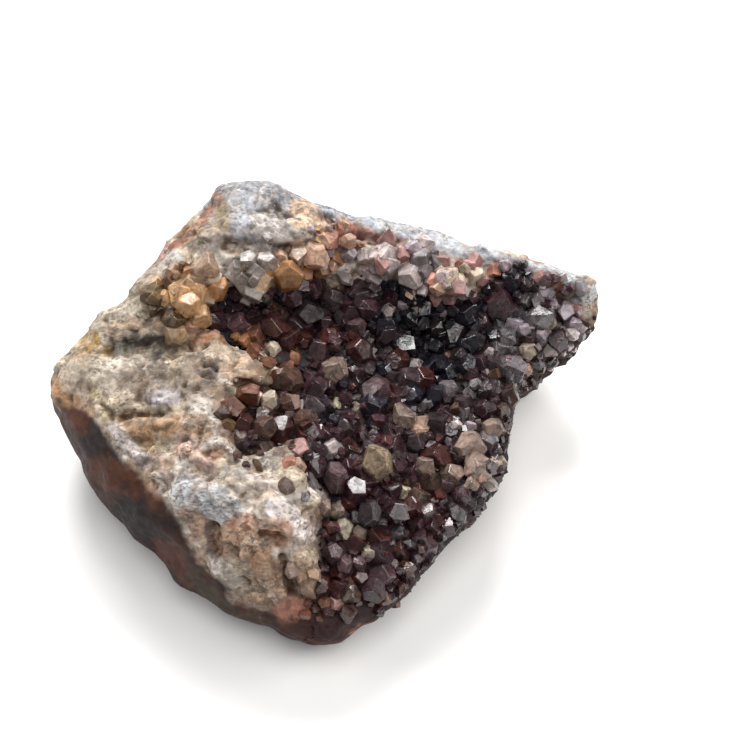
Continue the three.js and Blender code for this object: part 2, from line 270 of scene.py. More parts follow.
def relaxed(mesh, values, rounds, share=0.5):
    """Each vertex's values move towards the mean of its neighbours'."""
    edges = np.empty(len(mesh.edges) * 2, np.int32)
    mesh.edges.foreach_get("vertices", edges)
    a, b = edges.reshape(-1, 2).T
    count = np.bincount(a, minlength=len(values)) + np.bincount(b, minlength=len(values))
    for _ in range(rounds):
        total = np.zeros_like(values)
        for axis in range(values.shape[1]):
            total[:, axis] = np.bincount(a, values[b, axis], len(values))
            total[:, axis] += np.bincount(b, values[a, axis], len(values))
        values = values + share * (total / count[:, None] - values)
    return values


def paint(mesh, colours, domain):
    """Stores the tint, one colour for each vertex or for each corner."""
    layer = mesh.color_attributes.new("tint", "FLOAT_COLOR", domain)
    rgba = np.ones((len(layer.data), 4))
    rgba[:, :3] = np.clip(colours, 0, 1)
    layer.data.foreach_set("color", rgba.ravel())


class Batch:
    """Many small solids that become one mesh with flat faces."""

    def __init__(self):
        self.points, self.faces, self.colours, self.count = [], [], [], 0

    def add(self, points, faces, colours):
        """Adds triangles. colours holds one colour for each corner of each face."""
        self.points.append(points)
        self.faces.append(faces + self.count)
        self.colours.append(colours.reshape(-1, 3))
        self.count += len(points)

    def make(self, name):
        mesh = bpy.data.meshes.new(name)
        points = np.concatenate(self.points)
        faces = np.concatenate(self.faces)
        mesh.vertices.add(len(points))
        mesh.vertices.foreach_set("co", (points * MM).ravel())
        mesh.loops.add(faces.size)
        mesh.loops.foreach_set("vertex_index", faces.ravel())
        mesh.polygons.add(len(faces))
        mesh.polygons.foreach_set("loop_start", np.arange(0, faces.size, 3))
        mesh.update(calc_edges=True)
        mesh.shade_flat()
        paint(mesh, np.concatenate(self.colours), "CORNER")
        mesh.validate()
        return linked(name, mesh)


# ---------------------------------------------------------------- rock

# Outlines in the photograph's frame, as (column, row) points: the dark lining of the hollow, and
# the dark skin of the rock's front and left sides. Both run on past the object where they leave it.
DRUSE_OUTLINE = [
    (203, 322), (205, 304), (221, 297), (224, 284), (243, 284), (258, 297), (275, 283), (300, 275),
    (322, 278), (335, 288), (352, 292), (370, 289), (385, 275), (400, 280), (408, 292), (428, 302),
    (460, 300), (480, 288), (495, 277), (505, 264), (522, 264), (532, 280), (548, 282), (566, 300),
    (574, 318), (586, 324), (640, 345), (620, 420), (540, 500), (480, 600), (410, 660), (372, 602),
    (345, 604), (330, 598), (317, 580), (320, 555), (318, 520), (328, 500), (316, 480), (305, 470),
    (290, 447), (262, 446), (247, 446), (238, 436), (222, 424), (230, 402), (244, 398), (262, 404),
    (280, 400), (282, 384), (286, 366), (298, 354), (284, 350), (270, 338), (262, 354), (247, 349),
    (243, 336), (250, 326), (238, 322), (222, 327),
]
SKIN_OUTLINE = [
    (40, 398), (68, 405), (84, 403), (95, 418), (108, 434), (118, 452), (128, 467), (140, 480),
    (154, 489), (166, 498), (177, 513), (185, 530), (192, 548), (203, 563), (214, 577), (229, 592),
    (246, 606), (262, 613), (280, 603), (296, 597), (311, 592), (318, 580), (330, 597), (350, 604),
    (376, 602), (420, 640), (400, 700), (200, 700), (40, 600),
]

# Mineral patches where the rock shows:
# [column, row, column, row, radius, colour, strength, raggedness]. The two points, in the
# photograph's frame, are the ends of the patch's middle line.
PATCHES = [
    # the massif at the back: cool grey granules with a paler middle
    [235, 205, 330, 215, 42, (0.205, 0.22, 0.245), 0.9, 0.8],
    [235, 200, 262, 225, 16, (0.33, 0.345, 0.37), 0.7, 1.0],
    [205, 250, 212, 240, 11, (0.42, 0.37, 0.35), 0.8, 0.8],
    [265, 225, 300, 232, 13, (0.42, 0.38, 0.35), 0.8, 0.9],
    [228, 245, 285, 252, 10, (0.28, 0.25, 0.23), 0.7, 1.2],
    [240, 256, 262, 262, 8, (0.34, 0.28, 0.22), 0.6, 1.0],
    # rust and olive along its left edge
    [219, 196, 180, 245, 7, (0.24, 0.105, 0.06), 0.9, 1.0],
    [176, 246, 140, 275, 7, (0.27, 0.11, 0.085), 0.9, 1.0],
    [224, 206, 216, 224, 7, (0.27, 0.20, 0.095), 0.8, 1.1],
    [205, 235, 196, 246, 7, (0.13, 0.12, 0.08), 0.8, 1.2],
    [165, 270, 180, 262, 8, (0.40, 0.42, 0.42), 0.8, 1.0],
    [130, 290, 145, 283, 7, (0.38, 0.33, 0.19), 0.6, 1.0],
    [192, 262, 205, 254, 8, (0.30, 0.22, 0.14), 0.6, 1.0],
    # the back lip: ochre, then rust, then rose
    [300, 210, 320, 225, 13, (0.54, 0.38, 0.25), 0.85, 1.0],
    [327, 216, 340, 226, 8, (0.085, 0.040, 0.036), 0.85, 1.2],
    [345, 222, 352, 228, 7, (0.38, 0.24, 0.155), 0.8, 0.9],
    [345, 234, 395, 238, 9, (0.17, 0.042, 0.028), 0.9, 1.1],
    [300, 250, 325, 262, 12, (0.37, 0.22, 0.14), 0.7, 0.9],
    [400, 240, 470, 262, 10, (0.20, 0.12, 0.11), 0.75, 1.1],
    [470, 258, 500, 268, 7, (0.30, 0.14, 0.11), 0.8, 1.0],
    [503, 268, 525, 280, 10, (0.10, 0.095, 0.11), 0.85, 1.1],
    # the strip along the top edge, a pale bluish grey that is painted light: the sheen of the light
    # from behind
    [330, 205, 590, 290, 11, (0.33, 0.36, 0.40), 0.9, 0.5],
    # the slope above the crease
    [100, 330, 150, 285, 26, (0.36, 0.32, 0.255), 0.85, 0.8],
    [86, 338, 102, 352, 11, (0.26, 0.165, 0.045), 0.9, 1.0],
    [115, 332, 140, 326, 9, (0.30, 0.20, 0.14), 0.7, 1.0],
    [118, 345, 182, 348, 14, (0.035, 0.032, 0.028), 0.95, 0.9],
    [118, 349, 130, 348, 6, (0.18, 0.20, 0.165), 0.8, 1.0],
    [185, 342, 230, 330, 8, (0.12, 0.085, 0.06), 0.8, 1.0],
    [140, 300, 190, 315, 10, (0.15, 0.11, 0.065), 0.7, 1.0],
    [57, 384, 66, 403, 12, (0.40, 0.205, 0.08), 0.95, 0.6],
    # stain under the honey crystals
    [182, 285, 205, 320, 20, (0.36, 0.21, 0.12), 0.9, 0.7],
    [152, 290, 166, 312, 14, (0.16, 0.115, 0.07), 0.85, 0.8],
    [236, 272, 256, 290, 14, (0.26, 0.22, 0.20), 0.8, 0.8],
    # the plateau
    [75, 375, 130, 372, 24, (0.43, 0.38, 0.31), 0.8, 0.8],
    [140, 385, 225, 380, 22, (0.18, 0.14, 0.105), 0.8, 1.0],
    [150, 392, 168, 397, 9, (0.40, 0.38, 0.41), 0.8, 0.9],
    [100, 402, 112, 416, 7, (0.29, 0.25, 0.12), 0.6, 1.1],
    [125, 416, 158, 413, 5, (0.11, 0.065, 0.04), 0.8, 1.0],
    [120, 425, 200, 430, 13, (0.28, 0.155, 0.070), 0.85, 0.8],
    [180, 386, 195, 388, 6, (0.095, 0.085, 0.075), 0.85, 1.1],
    [160, 380, 176, 388, 7, (0.13, 0.11, 0.09), 0.7, 1.1],
    [200, 364, 216, 368, 5, (0.075, 0.07, 0.08), 0.85, 1.0],
    [203, 375, 214, 377, 4, (0.085, 0.08, 0.08), 0.8, 1.0],
    [185, 356, 250, 352, 9, (0.42, 0.33, 0.24), 0.7, 0.8],
    [205, 341, 245, 338, 7, (0.27, 0.095, 0.028), 0.9, 0.9],
    [230, 345, 285, 352, 7, (0.16, 0.075, 0.04), 0.8, 1.1],
    [240, 370, 275, 388, 14, (0.37, 0.25, 0.17), 0.8, 1.0],
    [265, 372, 285, 392, 8, (0.19, 0.105, 0.06), 0.7, 1.1],
    [150, 442, 180, 446, 9, (0.38, 0.30, 0.17), 0.7, 0.9],
    [182, 448, 206, 466, 8, (0.42, 0.27, 0.23), 0.8, 0.9],
    [208, 452, 222, 450, 6, (0.25, 0.12, 0.07), 0.85, 1.0],
    [225, 470, 262, 462, 13, (0.21, 0.19, 0.175), 0.75, 1.1],
    [115, 425, 145, 465, 9, (0.42, 0.38, 0.37), 0.9, 0.6],
    [238, 442, 275, 445, 9, (0.13, 0.09, 0.075), 0.8, 1.0],
    [157, 470, 165, 479, 6, (0.16, 0.10, 0.085), 0.85, 0.9],
    # the knob
    [190, 492, 225, 505, 19, (0.42, 0.44, 0.47), 0.95, 0.5],
    [218, 480, 232, 492, 7, (0.17, 0.17, 0.17), 0.6, 1.1],
    [240, 490, 262, 505, 14, (0.48, 0.41, 0.34), 0.85, 0.8],
    [268, 508, 278, 512, 7, (0.46, 0.43, 0.48), 0.8, 0.7],
    [285, 515, 305, 530, 16, (0.66, 0.59, 0.57), 0.9, 0.6],
    [240, 528, 282, 532, 12, (0.50, 0.28, 0.18), 0.9, 0.8],
    [262, 536, 282, 537, 4, (0.14, 0.065, 0.04), 0.85, 0.9],
    [245, 527, 250, 528, 4, (0.16, 0.075, 0.045), 0.85, 0.9],
    [190, 515, 205, 525, 12, (0.30, 0.20, 0.15), 0.75, 0.9],
    [213, 525, 215, 550, 8, (0.070, 0.050, 0.055), 0.85, 1.0],
    [228, 555, 262, 580, 9, (0.19, 0.14, 0.10), 0.7, 1.1],
    [225, 540, 262, 560, 14, (0.30, 0.185, 0.12), 0.85, 0.9],
    [262, 560, 280, 590, 12, (0.28, 0.165, 0.105), 0.85, 0.9],
    [283, 565, 292, 590, 7, (0.11, 0.065, 0.045), 0.85, 0.9],
    [300, 560, 312, 575, 11, (0.33, 0.235, 0.17), 0.85, 0.9],
    [222, 575, 240, 585, 10, (0.21, 0.17, 0.14), 0.75, 1.1],
    [245, 605, 262, 606, 10, (0.20, 0.13, 0.10), 0.75, 0.9],
]
# Stains on the dark skin, in the same form as the patches.
STAINS = [
    [66, 404, 80, 424, 11, (0.085, 0.028, 0.014), 0.9, 0.8],
    [70, 440, 90, 470, 12, (0.048, 0.023, 0.018), 0.8, 0.9],
    [92, 424, 112, 446, 9, (0.030, 0.024, 0.025), 0.8, 0.9],
    [100, 470, 150, 492, 14, (0.075, 0.027, 0.015), 0.85, 0.9],
    [150, 486, 172, 500, 7, (0.17, 0.095, 0.065), 0.8, 0.9],
    [122, 515, 165, 530, 17, (0.013, 0.010, 0.010), 0.9, 0.8],
    [166, 545, 188, 580, 8, (0.085, 0.030, 0.020), 0.85, 0.9],
    [188, 565, 225, 612, 9, (0.055, 0.045, 0.032), 0.8, 1.0],
    [235, 618, 262, 628, 9, (0.075, 0.052, 0.038), 0.8, 1.0],
    [255, 600, 296, 606, 14, (0.19, 0.10, 0.075), 0.85, 1.1],
    [292, 603, 352, 612, 19, (0.30, 0.135, 0.10), 0.9, 1.8],
    [298, 603, 318, 607, 7, (0.35, 0.18, 0.13), 0.7, 1.8],
    [328, 606, 348, 612, 6, (0.38, 0.20, 0.15), 0.7, 1.6],
    [345, 610, 368, 608, 8, (0.16, 0.085, 0.068), 0.8, 0.9],
    [280, 634, 340, 634, 10, (0.046, 0.019, 0.016), 0.9, 0.7],
]
CREAM = (0.43, 0.36, 0.275)
BACK_WALL = (0.24, 0.19, 0.15)
VEIN = (0.20, 0.14, 0.10)
FLECK = (0.11, 0.09, 0.08)
LINING_MARGIN = (0.115, 0.060, 0.042)
SKIN = (0.036, 0.015, 0.011)
BARE_CRUST = (0.018, 0.010, 0.009)
BED = (0.035, 0.016, 0.016)
CREVICE_PAINTED_SHADE = (0.45, 0.35, 0.27)  # painted shade: what the shade painted into a crevice leaves of each of the rock's red, green and blue

# Broad cloudy tones: colour, strength, then the noise's size, seed and octaves, and the values of
# the noise where the tone starts and where it is full.
ROCK_TONES = [
    ((0.48, 0.44, 0.40), 0.9, 6, 71, 4, -0.25, 0.3),
    ((0.27, 0.165, 0.10), 0.7, 5, 75, 4, 0.05, 0.35),
]
SKIN_TONES = [
    ((0.075, 0.026, 0.017), 0.9, 9, 95, 3, 0.0, 0.5),
    ((0.015, 0.010, 0.010), 0.9, 8, 99, 3, 0.0, 0.4),
    ((0.14, 0.066, 0.038), 0.8, 6, 103, 3, 0.32, 0.6),
]
BED_TONES = [((0.012, 0.009, 0.012), 1, 6, 115, 3, -0.2, 0.4)]

# Lumps and clefts of the rock where it shows: [column, row, column, row, radius, height].
# The points and the radius are in the photograph's frame, and the height is in millimetres.
LUMPS = [
    [186, 494, 226, 505, 19, 0.9],
    [272, 505, 303, 528, 15, 0.7],
    [246, 520, 284, 524, 12, 0.4],
    [212, 526, 216, 552, 8, -1.3],
    [284, 560, 291, 592, 6, -1.1],
    [226, 548, 236, 556, 6, -0.9],
    [262, 534, 282, 536, 5, -0.7],
    [301, 560, 311, 580, 12, 0.9],
    [226, 572, 238, 586, 9, 0.6],
    [252, 596, 262, 600, 10, 0.6],
    [262, 560, 268, 580, 9, 0.6],
    [122, 417, 160, 412, 5, -0.9],
    [130, 428, 190, 430, 12, 0.6],
    [240, 383, 280, 392, 7, -1.0],
    [203, 365, 216, 367, 4, -0.8],
    [205, 376, 214, 377, 4, -0.7],
    [186, 383, 196, 388, 5, -0.7],
    [236, 343, 264, 357, 5, -1.0],
    [205, 338, 238, 335, 6, 0.7],
    [112, 352, 188, 346, 11, -0.9],
    [150, 372, 210, 356, 9, 0.7],
    [80, 372, 130, 366, 16, 0.6],
    [100, 406, 112, 416, 5, -0.7],
    [148, 395, 168, 398, 8, 0.5],
    [116, 430, 140, 456, 8, 0.6],
    [205, 452, 222, 450, 6, -0.8],
    [184, 452, 204, 462, 8, 0.7],
    [230, 458, 262, 450, 9, -0.6],
    [236, 478, 262, 482, 12, 0.5],
    [180, 235, 210, 205, 9, -0.7],
    [200, 250, 216, 238, 10, 0.8],
    [255, 225, 305, 235, 14, 0.7],
    [225, 246, 285, 250, 9, -0.8],
    [300, 212, 322, 224, 11, 0.6],
    [328, 218, 340, 226, 6, -0.8],
    [345, 236, 395, 240, 7, -0.8],
]


def from_line(places, a, b):
    """Distance of each place from the line between a and b."""
    a, b = np.asarray(a, float), np.asarray(b, float)
    t = np.clip(((places - a) @ (b - a)) / max((b - a) @ (b - a), 1e-9), 0, 1)
    return np.linalg.norm(places - a - t[:, None] * (b - a), axis=1)


def depth_inside(places, outline):
    """Distance of each place from a closed outline, above zero inside it."""
    away = np.full(len(places), 1e9)
    inside = np.zeros(len(places), bool)
    for (ax, ay), (bx, by) in zip(outline, outline[1:] + outline[:1]):
        away = np.minimum(away, from_line(places, (ax, ay), (bx, by)))
        if ay != by:
            level = (places[:, 1] < ay) != (places[:, 1] < by)
            inside ^= level & (places[:, 0] < ax + (places[:, 1] - ay) * (bx - ax) / (by - ay))
    return np.where(inside, away, -away)


def toned(colours, points, tones):
    """Colours with broad cloudy tones laid over them."""
    for colour, strength, size, seed, octaves, low, high in tones:
        cloud = fractal(points, size, seed, octaves)
        colours = mixed(colours, colour, strength * ramp(cloud, low, high))
    return colours


def patched(colours, points, share, patches):
    """Colours with patches laid over them. Each patch has a ragged edge."""
    warp = drift(points, 3.5, 61, 4, 2)
    speckle = fractal(points, 1.5, 81, 3)
    share = share * (0.55 + 0.45 * ramp(fractal(points, 1.1, 83, 3), -0.25, 0.1))
    places = in_frame(points)
    for column, row, to_column, to_row, radius, colour, strength, ragged in patches:
        away = from_line(places + 11 * ragged * warp, (column, row), (to_column, to_row)) / radius
        away += 0.45 * ragged * speckle
        colours = mixed(colours, colour, share * strength * (1 - ramp(away, 0.65, 1.15)))
    return colours


def shown(normals):
    """1 on what faces the front from above, as in the photograph, and 0 on what faces away."""
    return ramp(-(normals @ FORWARD), 0.0, 0.2)


def dark_skin(points, normals):
    """1 on the smooth dark skin of the rock's front and left sides and underside, 0 on the rest."""
    ragged = fractal(points, 7, 91, 4)
    front = ramp(-(normals @ np.array([0.45, 0.89, 0.0])), -0.1, 0.35)
    steep = ramp(0.60 + 0.14 * ragged - normals[:, 2], 0.0, 0.14)
    low = ramp(8 + 8 * ragged - points[:, 2], 0, 5) * ramp(0.7 - normals[:, 2], 0, 0.3)
    hidden_skin = np.maximum(steep * front, 0.75 * low)
    edge = depth_inside(in_frame(points), SKIN_OUTLINE) + 9 * fractal(points, 3, 93, 4)
    return hidden_skin + (ramp(edge, -4, 5) - hidden_skin) * shown(normals)


def druse_share(points, normals):
    """1 where the dark crystals line the rock, 0 elsewhere."""
    depth = depth_inside(in_frame(points), DRUSE_OUTLINE) + 4 * fractal(points, 2, 97, 3)
    return ramp(depth, -3, 4) * shown(normals)


def rock_colours(points, normals):
    """The matrix's own colour with its mineral patches, and the dark skin on its sides."""
    colours = toned(np.tile(CREAM, (len(points), 1)), points, ROCK_TONES)
    back_wall = ramp(0.35 - normals[:, 2], 0, 0.3) * ramp(28 - points[:, 2], 0, 14)
    colours = mixed(colours, BACK_WALL, 0.7 * back_wall)
    colours = patched(colours, points, shown(normals), PATCHES)
    vein = 1 - ramp(np.abs(fractal(points, 4.5, 85, 4)), 0.0, 0.07)
    colours = mixed(colours, VEIN, 0.45 * vein)
    streaked = points * np.array([0.6, 1.0, 1.0])
    fleck = ramp(fractal(streaked, 0.9, 87, 3), 0.24, 0.42)
    colours = mixed(colours, FLECK, 0.62 * fleck)
    depth = depth_inside(in_frame(points), DRUSE_OUTLINE) + 9 * fractal(points, 3, 109, 4)
    colours = mixed(colours, LINING_MARGIN, 0.55 * ramp(depth, -12, -1) * shown(normals))

    skin = toned(np.tile(SKIN, (len(points), 1)), points, SKIN_TONES)
    skin = patched(skin, points, shown(normals), STAINS)
    colours = colours + (skin - colours) * dark_skin(points, normals)[:, None]
    return mixed(colours, BARE_CRUST, 0.9 * druse_share(points, normals))


def facets(points, size, seed):
    """Height of a surface broken into flat tilted faces, about -0.5 to 0.5."""
    nearest = np.full(len(points), 9.0)
    height = np.zeros(len(points))
    for cell, way in cells_round(points, size, seed):
        tilt = lattice_vectors(cell, seed + 4) - 0.5
        level = lattice(cell, seed + 8) - 0.5
        distance = np.linalg.norm(way, axis=1)
        closer = distance < nearest
        height = np.where(closer, 0.9 * (tilt * way).sum(1) + 0.5 * level, height)
        nearest = np.where(closer, distance, nearest)
    return height


def rock_relief(points, normals):
    """Height of the rock's rough skin over its smooth surface."""
    shifted = points + 0.5 * drift(points, 2.5, 21, 2, 3)
    broken = 1.1 * facets(shifted, 4.6, 31) + 0.6 * facets(shifted, 2.1, 43)
    relief = 0.35 * fractal(points, 6.0, 11, 3) + broken + 0.16 * value_noise(points, 0.9, 51)
    relief *= (0.5 + 0.5 * shown(normals)) * (1 - 0.85 * dark_skin(points, normals))
    places = in_frame(points) + 5 * drift(points, 2.5, 55, 3, 2)
    for column, row, to_column, to_row, radius, height in LUMPS:
        away = from_line(places, (column, row), (to_column, to_row)) / radius
        relief += 1.3 * height * (1 - ramp(away, 0.45, 1.1)) * shown(normals)
    return relief * ramp(points[:, 2], 0.1, 2.0)


def broad_normals(mesh, rounds):
    """Normals of the surface without its fine relief."""
    normals = relaxed(mesh, normals_of(mesh), rounds)
    return normals / np.linalg.norm(normals, axis=1)[:, None]


def hollowness(mesh, rounds):
    """How far each vertex lies below its surroundings, in millimetres, and below zero on bulges."""
    points = points_of(mesh)
    return ((relaxed(mesh, points, rounds) - points) * normals_of(mesh)).sum(1)


def make_rock():
    """The rock with its rough skin, and its attributes tint and smooth, which is 1 on dark skin."""
    rock = remeshed(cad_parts["matrix_rock"], ROCK_VOXEL, "rock_skin")
    mesh = rock.data
    points = nudged(relaxed(mesh, points_of(mesh), 4))
    set_points(mesh, points)
    relief = rock_relief(points, broad_normals(mesh, 8))
    points = relaxed(mesh, points + normals_of(mesh) * relief[:, None], 1, 0.3)
    points[:, 2] = np.maximum(points[:, 2], 0)
    set_points(mesh, points)
    rock = thinned(rock, ROCK_TRIANGLES)
    mesh = rock.data
    points = points_of(mesh)
    normals = broad_normals(mesh, 14)
    skin = dark_skin(points, normals)
    variation = (grain_numbers(points, 3.0, 105) - 0.5) * 0.22
    variation += (grain_numbers(points, 1.3, 101) - 0.5) * 0.25
    colours = rock_colours(points, normals) * (1 + (1 - 0.6 * skin) * variation)[:, None]
    hollow = hollowness(mesh, 10)
    # Painted shade: darker in the hollows of the rock's relief. Painted light: lighter on its
    # bulges.
    colours = mixed(colours, colours * CREVICE_PAINTED_SHADE, (1 - skin) * ramp(hollow, 0.05, 0.30))
    colours = mixed(colours, colours * 1.2, (1 - skin) * ramp(-hollow, 0.03, 0.25))
    paint(mesh, colours, "POINT")
    smooth = mesh.attributes.new("smooth", "FLOAT", "POINT")
    smooth.data.foreach_set("value", skin)
    return rock


# ---------------------------------------------------------------- crystal shapes

# Every three of a crystal's 13 faces: its base, six prism faces and six tip faces.
PLANE_TRIPLES = np.array(list(itertools.combinations(range(13), 3)))


def quartz_planes(random, prism, root, minor, uneven):
    """Normals and distances of the faces of a quartz crystal one unit wide.

    Its prism ends at z = prism and it stands on z = -root. minor sets back every second tip
    face, so that the other three grow, up to about 0.6, where they meet as a cube's corner does.
    """
    normals, distances = [(0, 0, -1)], [root]
    rise = 0.5 * math.tan(TIP_SLOPE)
    for side in range(6):
        turn = side * math.pi / 3
        out = np.array([math.cos(turn), math.sin(turn), 0.0])
        normals.append(out)
        distances.append(0.5 * (1 + uneven * (random.random() - 0.5)))
        tip = out * math.sin(TIP_SLOPE) + np.array([0, 0, math.cos(TIP_SLOPE)])
        back = uneven * random.random() + (minor * (0.7 + 0.6 * random.random()) if side % 2 else 0)
        normals.append(tip)
        distances.append((rise + prism + 0.5 * back) * math.cos(TIP_SLOPE))
    return np.array(normals), np.array(distances)


def corners_of(normals, distances):
    """The corners of the solid that the planes bound."""
    sets = normals[PLANE_TRIPLES]
    good = np.abs(np.linalg.det(sets)) > 1e-3
    corners = np.linalg.solve(sets[good], distances[PLANE_TRIPLES[good]][..., None])[..., 0]
    corners = corners[((corners @ normals.T) <= distances + 1e-7).all(1)]
    kept = []
    for corner in corners:
        if all(np.linalg.norm(corner - other) > 0.02 for other in kept):
            kept.append(corner)
    return np.array(kept)


def quartz(random, prism, root, minor, uneven):
    """A quartz crystal's corners, and its faces as rings of corner numbers.

    The values are those of quartz_planes.
    """
    normals, distances = quartz_planes(random, prism, root, minor, uneven)
    corners = corners_of(normals, distances)
    faces = []
    for normal, distance in zip(normals, distances):
        on = np.nonzero(np.abs(corners @ normal - distance) < 0.012)[0]
        if len(on) < 3:
            continue
        middle = corners[on].mean(0)
        u = corners[on[0]] - middle
        u -= normal * (u @ normal)
        u /= np.linalg.norm(u)
        v = np.cross(normal, u)
        angle = np.arctan2((corners[on] - middle) @ v, (corners[on] - middle) @ u)
        faces.append(on[np.argsort(angle)].tolist())
    return corners, faces


def facet_shades(random, points, faces, contrast):
    """A shade for each triangle. Those of one flat face have the same shade, and narrow chamfers a
    painted highlight.
    """
    a, b, c = (points[faces[:, n]] for n in range(3))
    across = np.cross(b - a, c - a)
    double_area = np.linalg.norm(across, axis=1)
    with np.errstate(invalid="ignore"):  # a triangle without area has no direction
        directions = np.round(across / double_area[:, None], 2)
    _, facet = np.unique(directions, axis=0, return_inverse=True)
    facet = facet.ravel()
    size = np.bincount(facet, double_area)
    shade = random.uniform(1 - contrast, 1 + contrast, len(size))
    # painted highlight along the crystal's narrow chamfers
    shade[size < 0.1] = EDGE_PAINTED_HIGHLIGHT
    return shade[facet]


def in_order(faces):
    """The triangles in an order that is the same each run. Blender's own order isn't."""
    first = faces.argmin(1)[:, None]
    faces = np.take_along_axis(faces, (first + np.arange(3)) % 3, 1)
    return faces[np.lexsort(faces.T[::-1])]


def triangles(random, points, faces, bevel, contrast):
    """The solid as triangles, with chamfers of the given width, and each triangle's shade.

    If faces is None, it is the hull of the points. contrast is how much its faces' shades differ.
    """
    bm = bmesh.new()
    verts = [bm.verts.new(p) for p in points]
    if faces is None:
        hull = bmesh.ops.convex_hull(bm, input=verts)
        bmesh.ops.delete(bm, geom=[v for v in hull["geom_unused"] if v.is_valid], context="VERTS")
    else:
        for face in faces:
            bm.faces.new([verts[i] for i in face])
    if bevel:
        settings = {"offset": bevel, "segments": 1, "affect": "EDGES", "clamp_overlap": True}
        bmesh.ops.bevel(bm, geom=list(bm.edges), **settings)
    bmesh.ops.triangulate(bm, faces=bm.faces)
    bmesh.ops.recalc_face_normals(bm, faces=bm.faces)
    bm.verts.index_update()
    points = np.array([v.co for v in bm.verts])
    faces = in_order(np.array([[v.index for v in f.verts] for f in bm.faces]))
    bm.free()
    return points, faces, facet_shades(random, points, faces, contrast)


def shard(random):
    """A small broken grain about one unit wide."""
    points = random.normal(size=(9, 3))
    points /= np.linalg.norm(points, axis=1)[:, None]
    points = points * 0.5 * random.uniform(0.7, 1.1, 3)
    return triangles(random, points, None, bevel=0, contrast=0.15)


def turned(axis, spin):
    """Rotation matrix that takes +Z to axis, after a turn about it."""
    q = Vector((0, 0, 1)).rotation_difference(Vector(axis)) @ Quaternion((0, 0, 1), spin)
    return np.array(q.to_matrix())


def unit(vector):
    """The vector's direction, one unit long."""
    return vector / np.linalg.norm(vector)


def planted(batch, shape, seat, axis, size, spin, colour, root_painted_shade=0.55):
    """Adds a crystal whose own z = 0 is at its seat. Its root is darker than its tip: partly a
    cloudier root, partly painted shade at its foot.
    """
    points, faces, facet_shade = shape
    # partly painted shade: darker towards the root, lighter towards the tip
    shade = root_painted_shade + (1.15 - root_painted_shade) * ramp(points[:, 2], -0.2, 0.6)
    place = (points * np.asarray(size)) @ turned(axis, spin).T + seat
    corner_shade = shade[faces] * facet_shade[:, None]
    batch.add(place, faces, np.asarray(colour) * corner_shade[..., None])


# ---------------------------------------------------------------- colours of the crystals

TINTS = {
    "plum": (0.057, 0.023, 0.031),
    "maroon": (0.076, 0.024, 0.021),
    "mauve": (0.14, 0.076, 0.086),
    "smoky": (0.054, 0.035, 0.040),
    "brown": (0.096, 0.050, 0.038),
    "dark": (0.022, 0.018, 0.030),
    "tan": (0.34, 0.245, 0.20),
    "straw": (0.40, 0.29, 0.19),
    "olive": (0.38, 0.33, 0.20),
    "stone": (0.38, 0.33, 0.30),
    "rose": (0.44, 0.24, 0.22),
    "lilac": (0.46, 0.385, 0.43),
    "ash": (0.20, 0.175, 0.185),
    "white": (0.60, 0.51, 0.50),
    "cream": (0.60, 0.50, 0.38),
    "sand": (0.58, 0.40, 0.24),
    "honey": (0.62, 0.38, 0.19),
    "amber": (0.42, 0.21, 0.088),
    "bronze": (0.14, 0.08, 0.032),
    "fawn": (0.40, 0.275, 0.195),
    "peach": (0.58, 0.37, 0.265),
    "coral": (0.56, 0.25, 0.18),
    "orange": (0.42, 0.19, 0.095),
    "russet": (0.20, 0.072, 0.038),
}

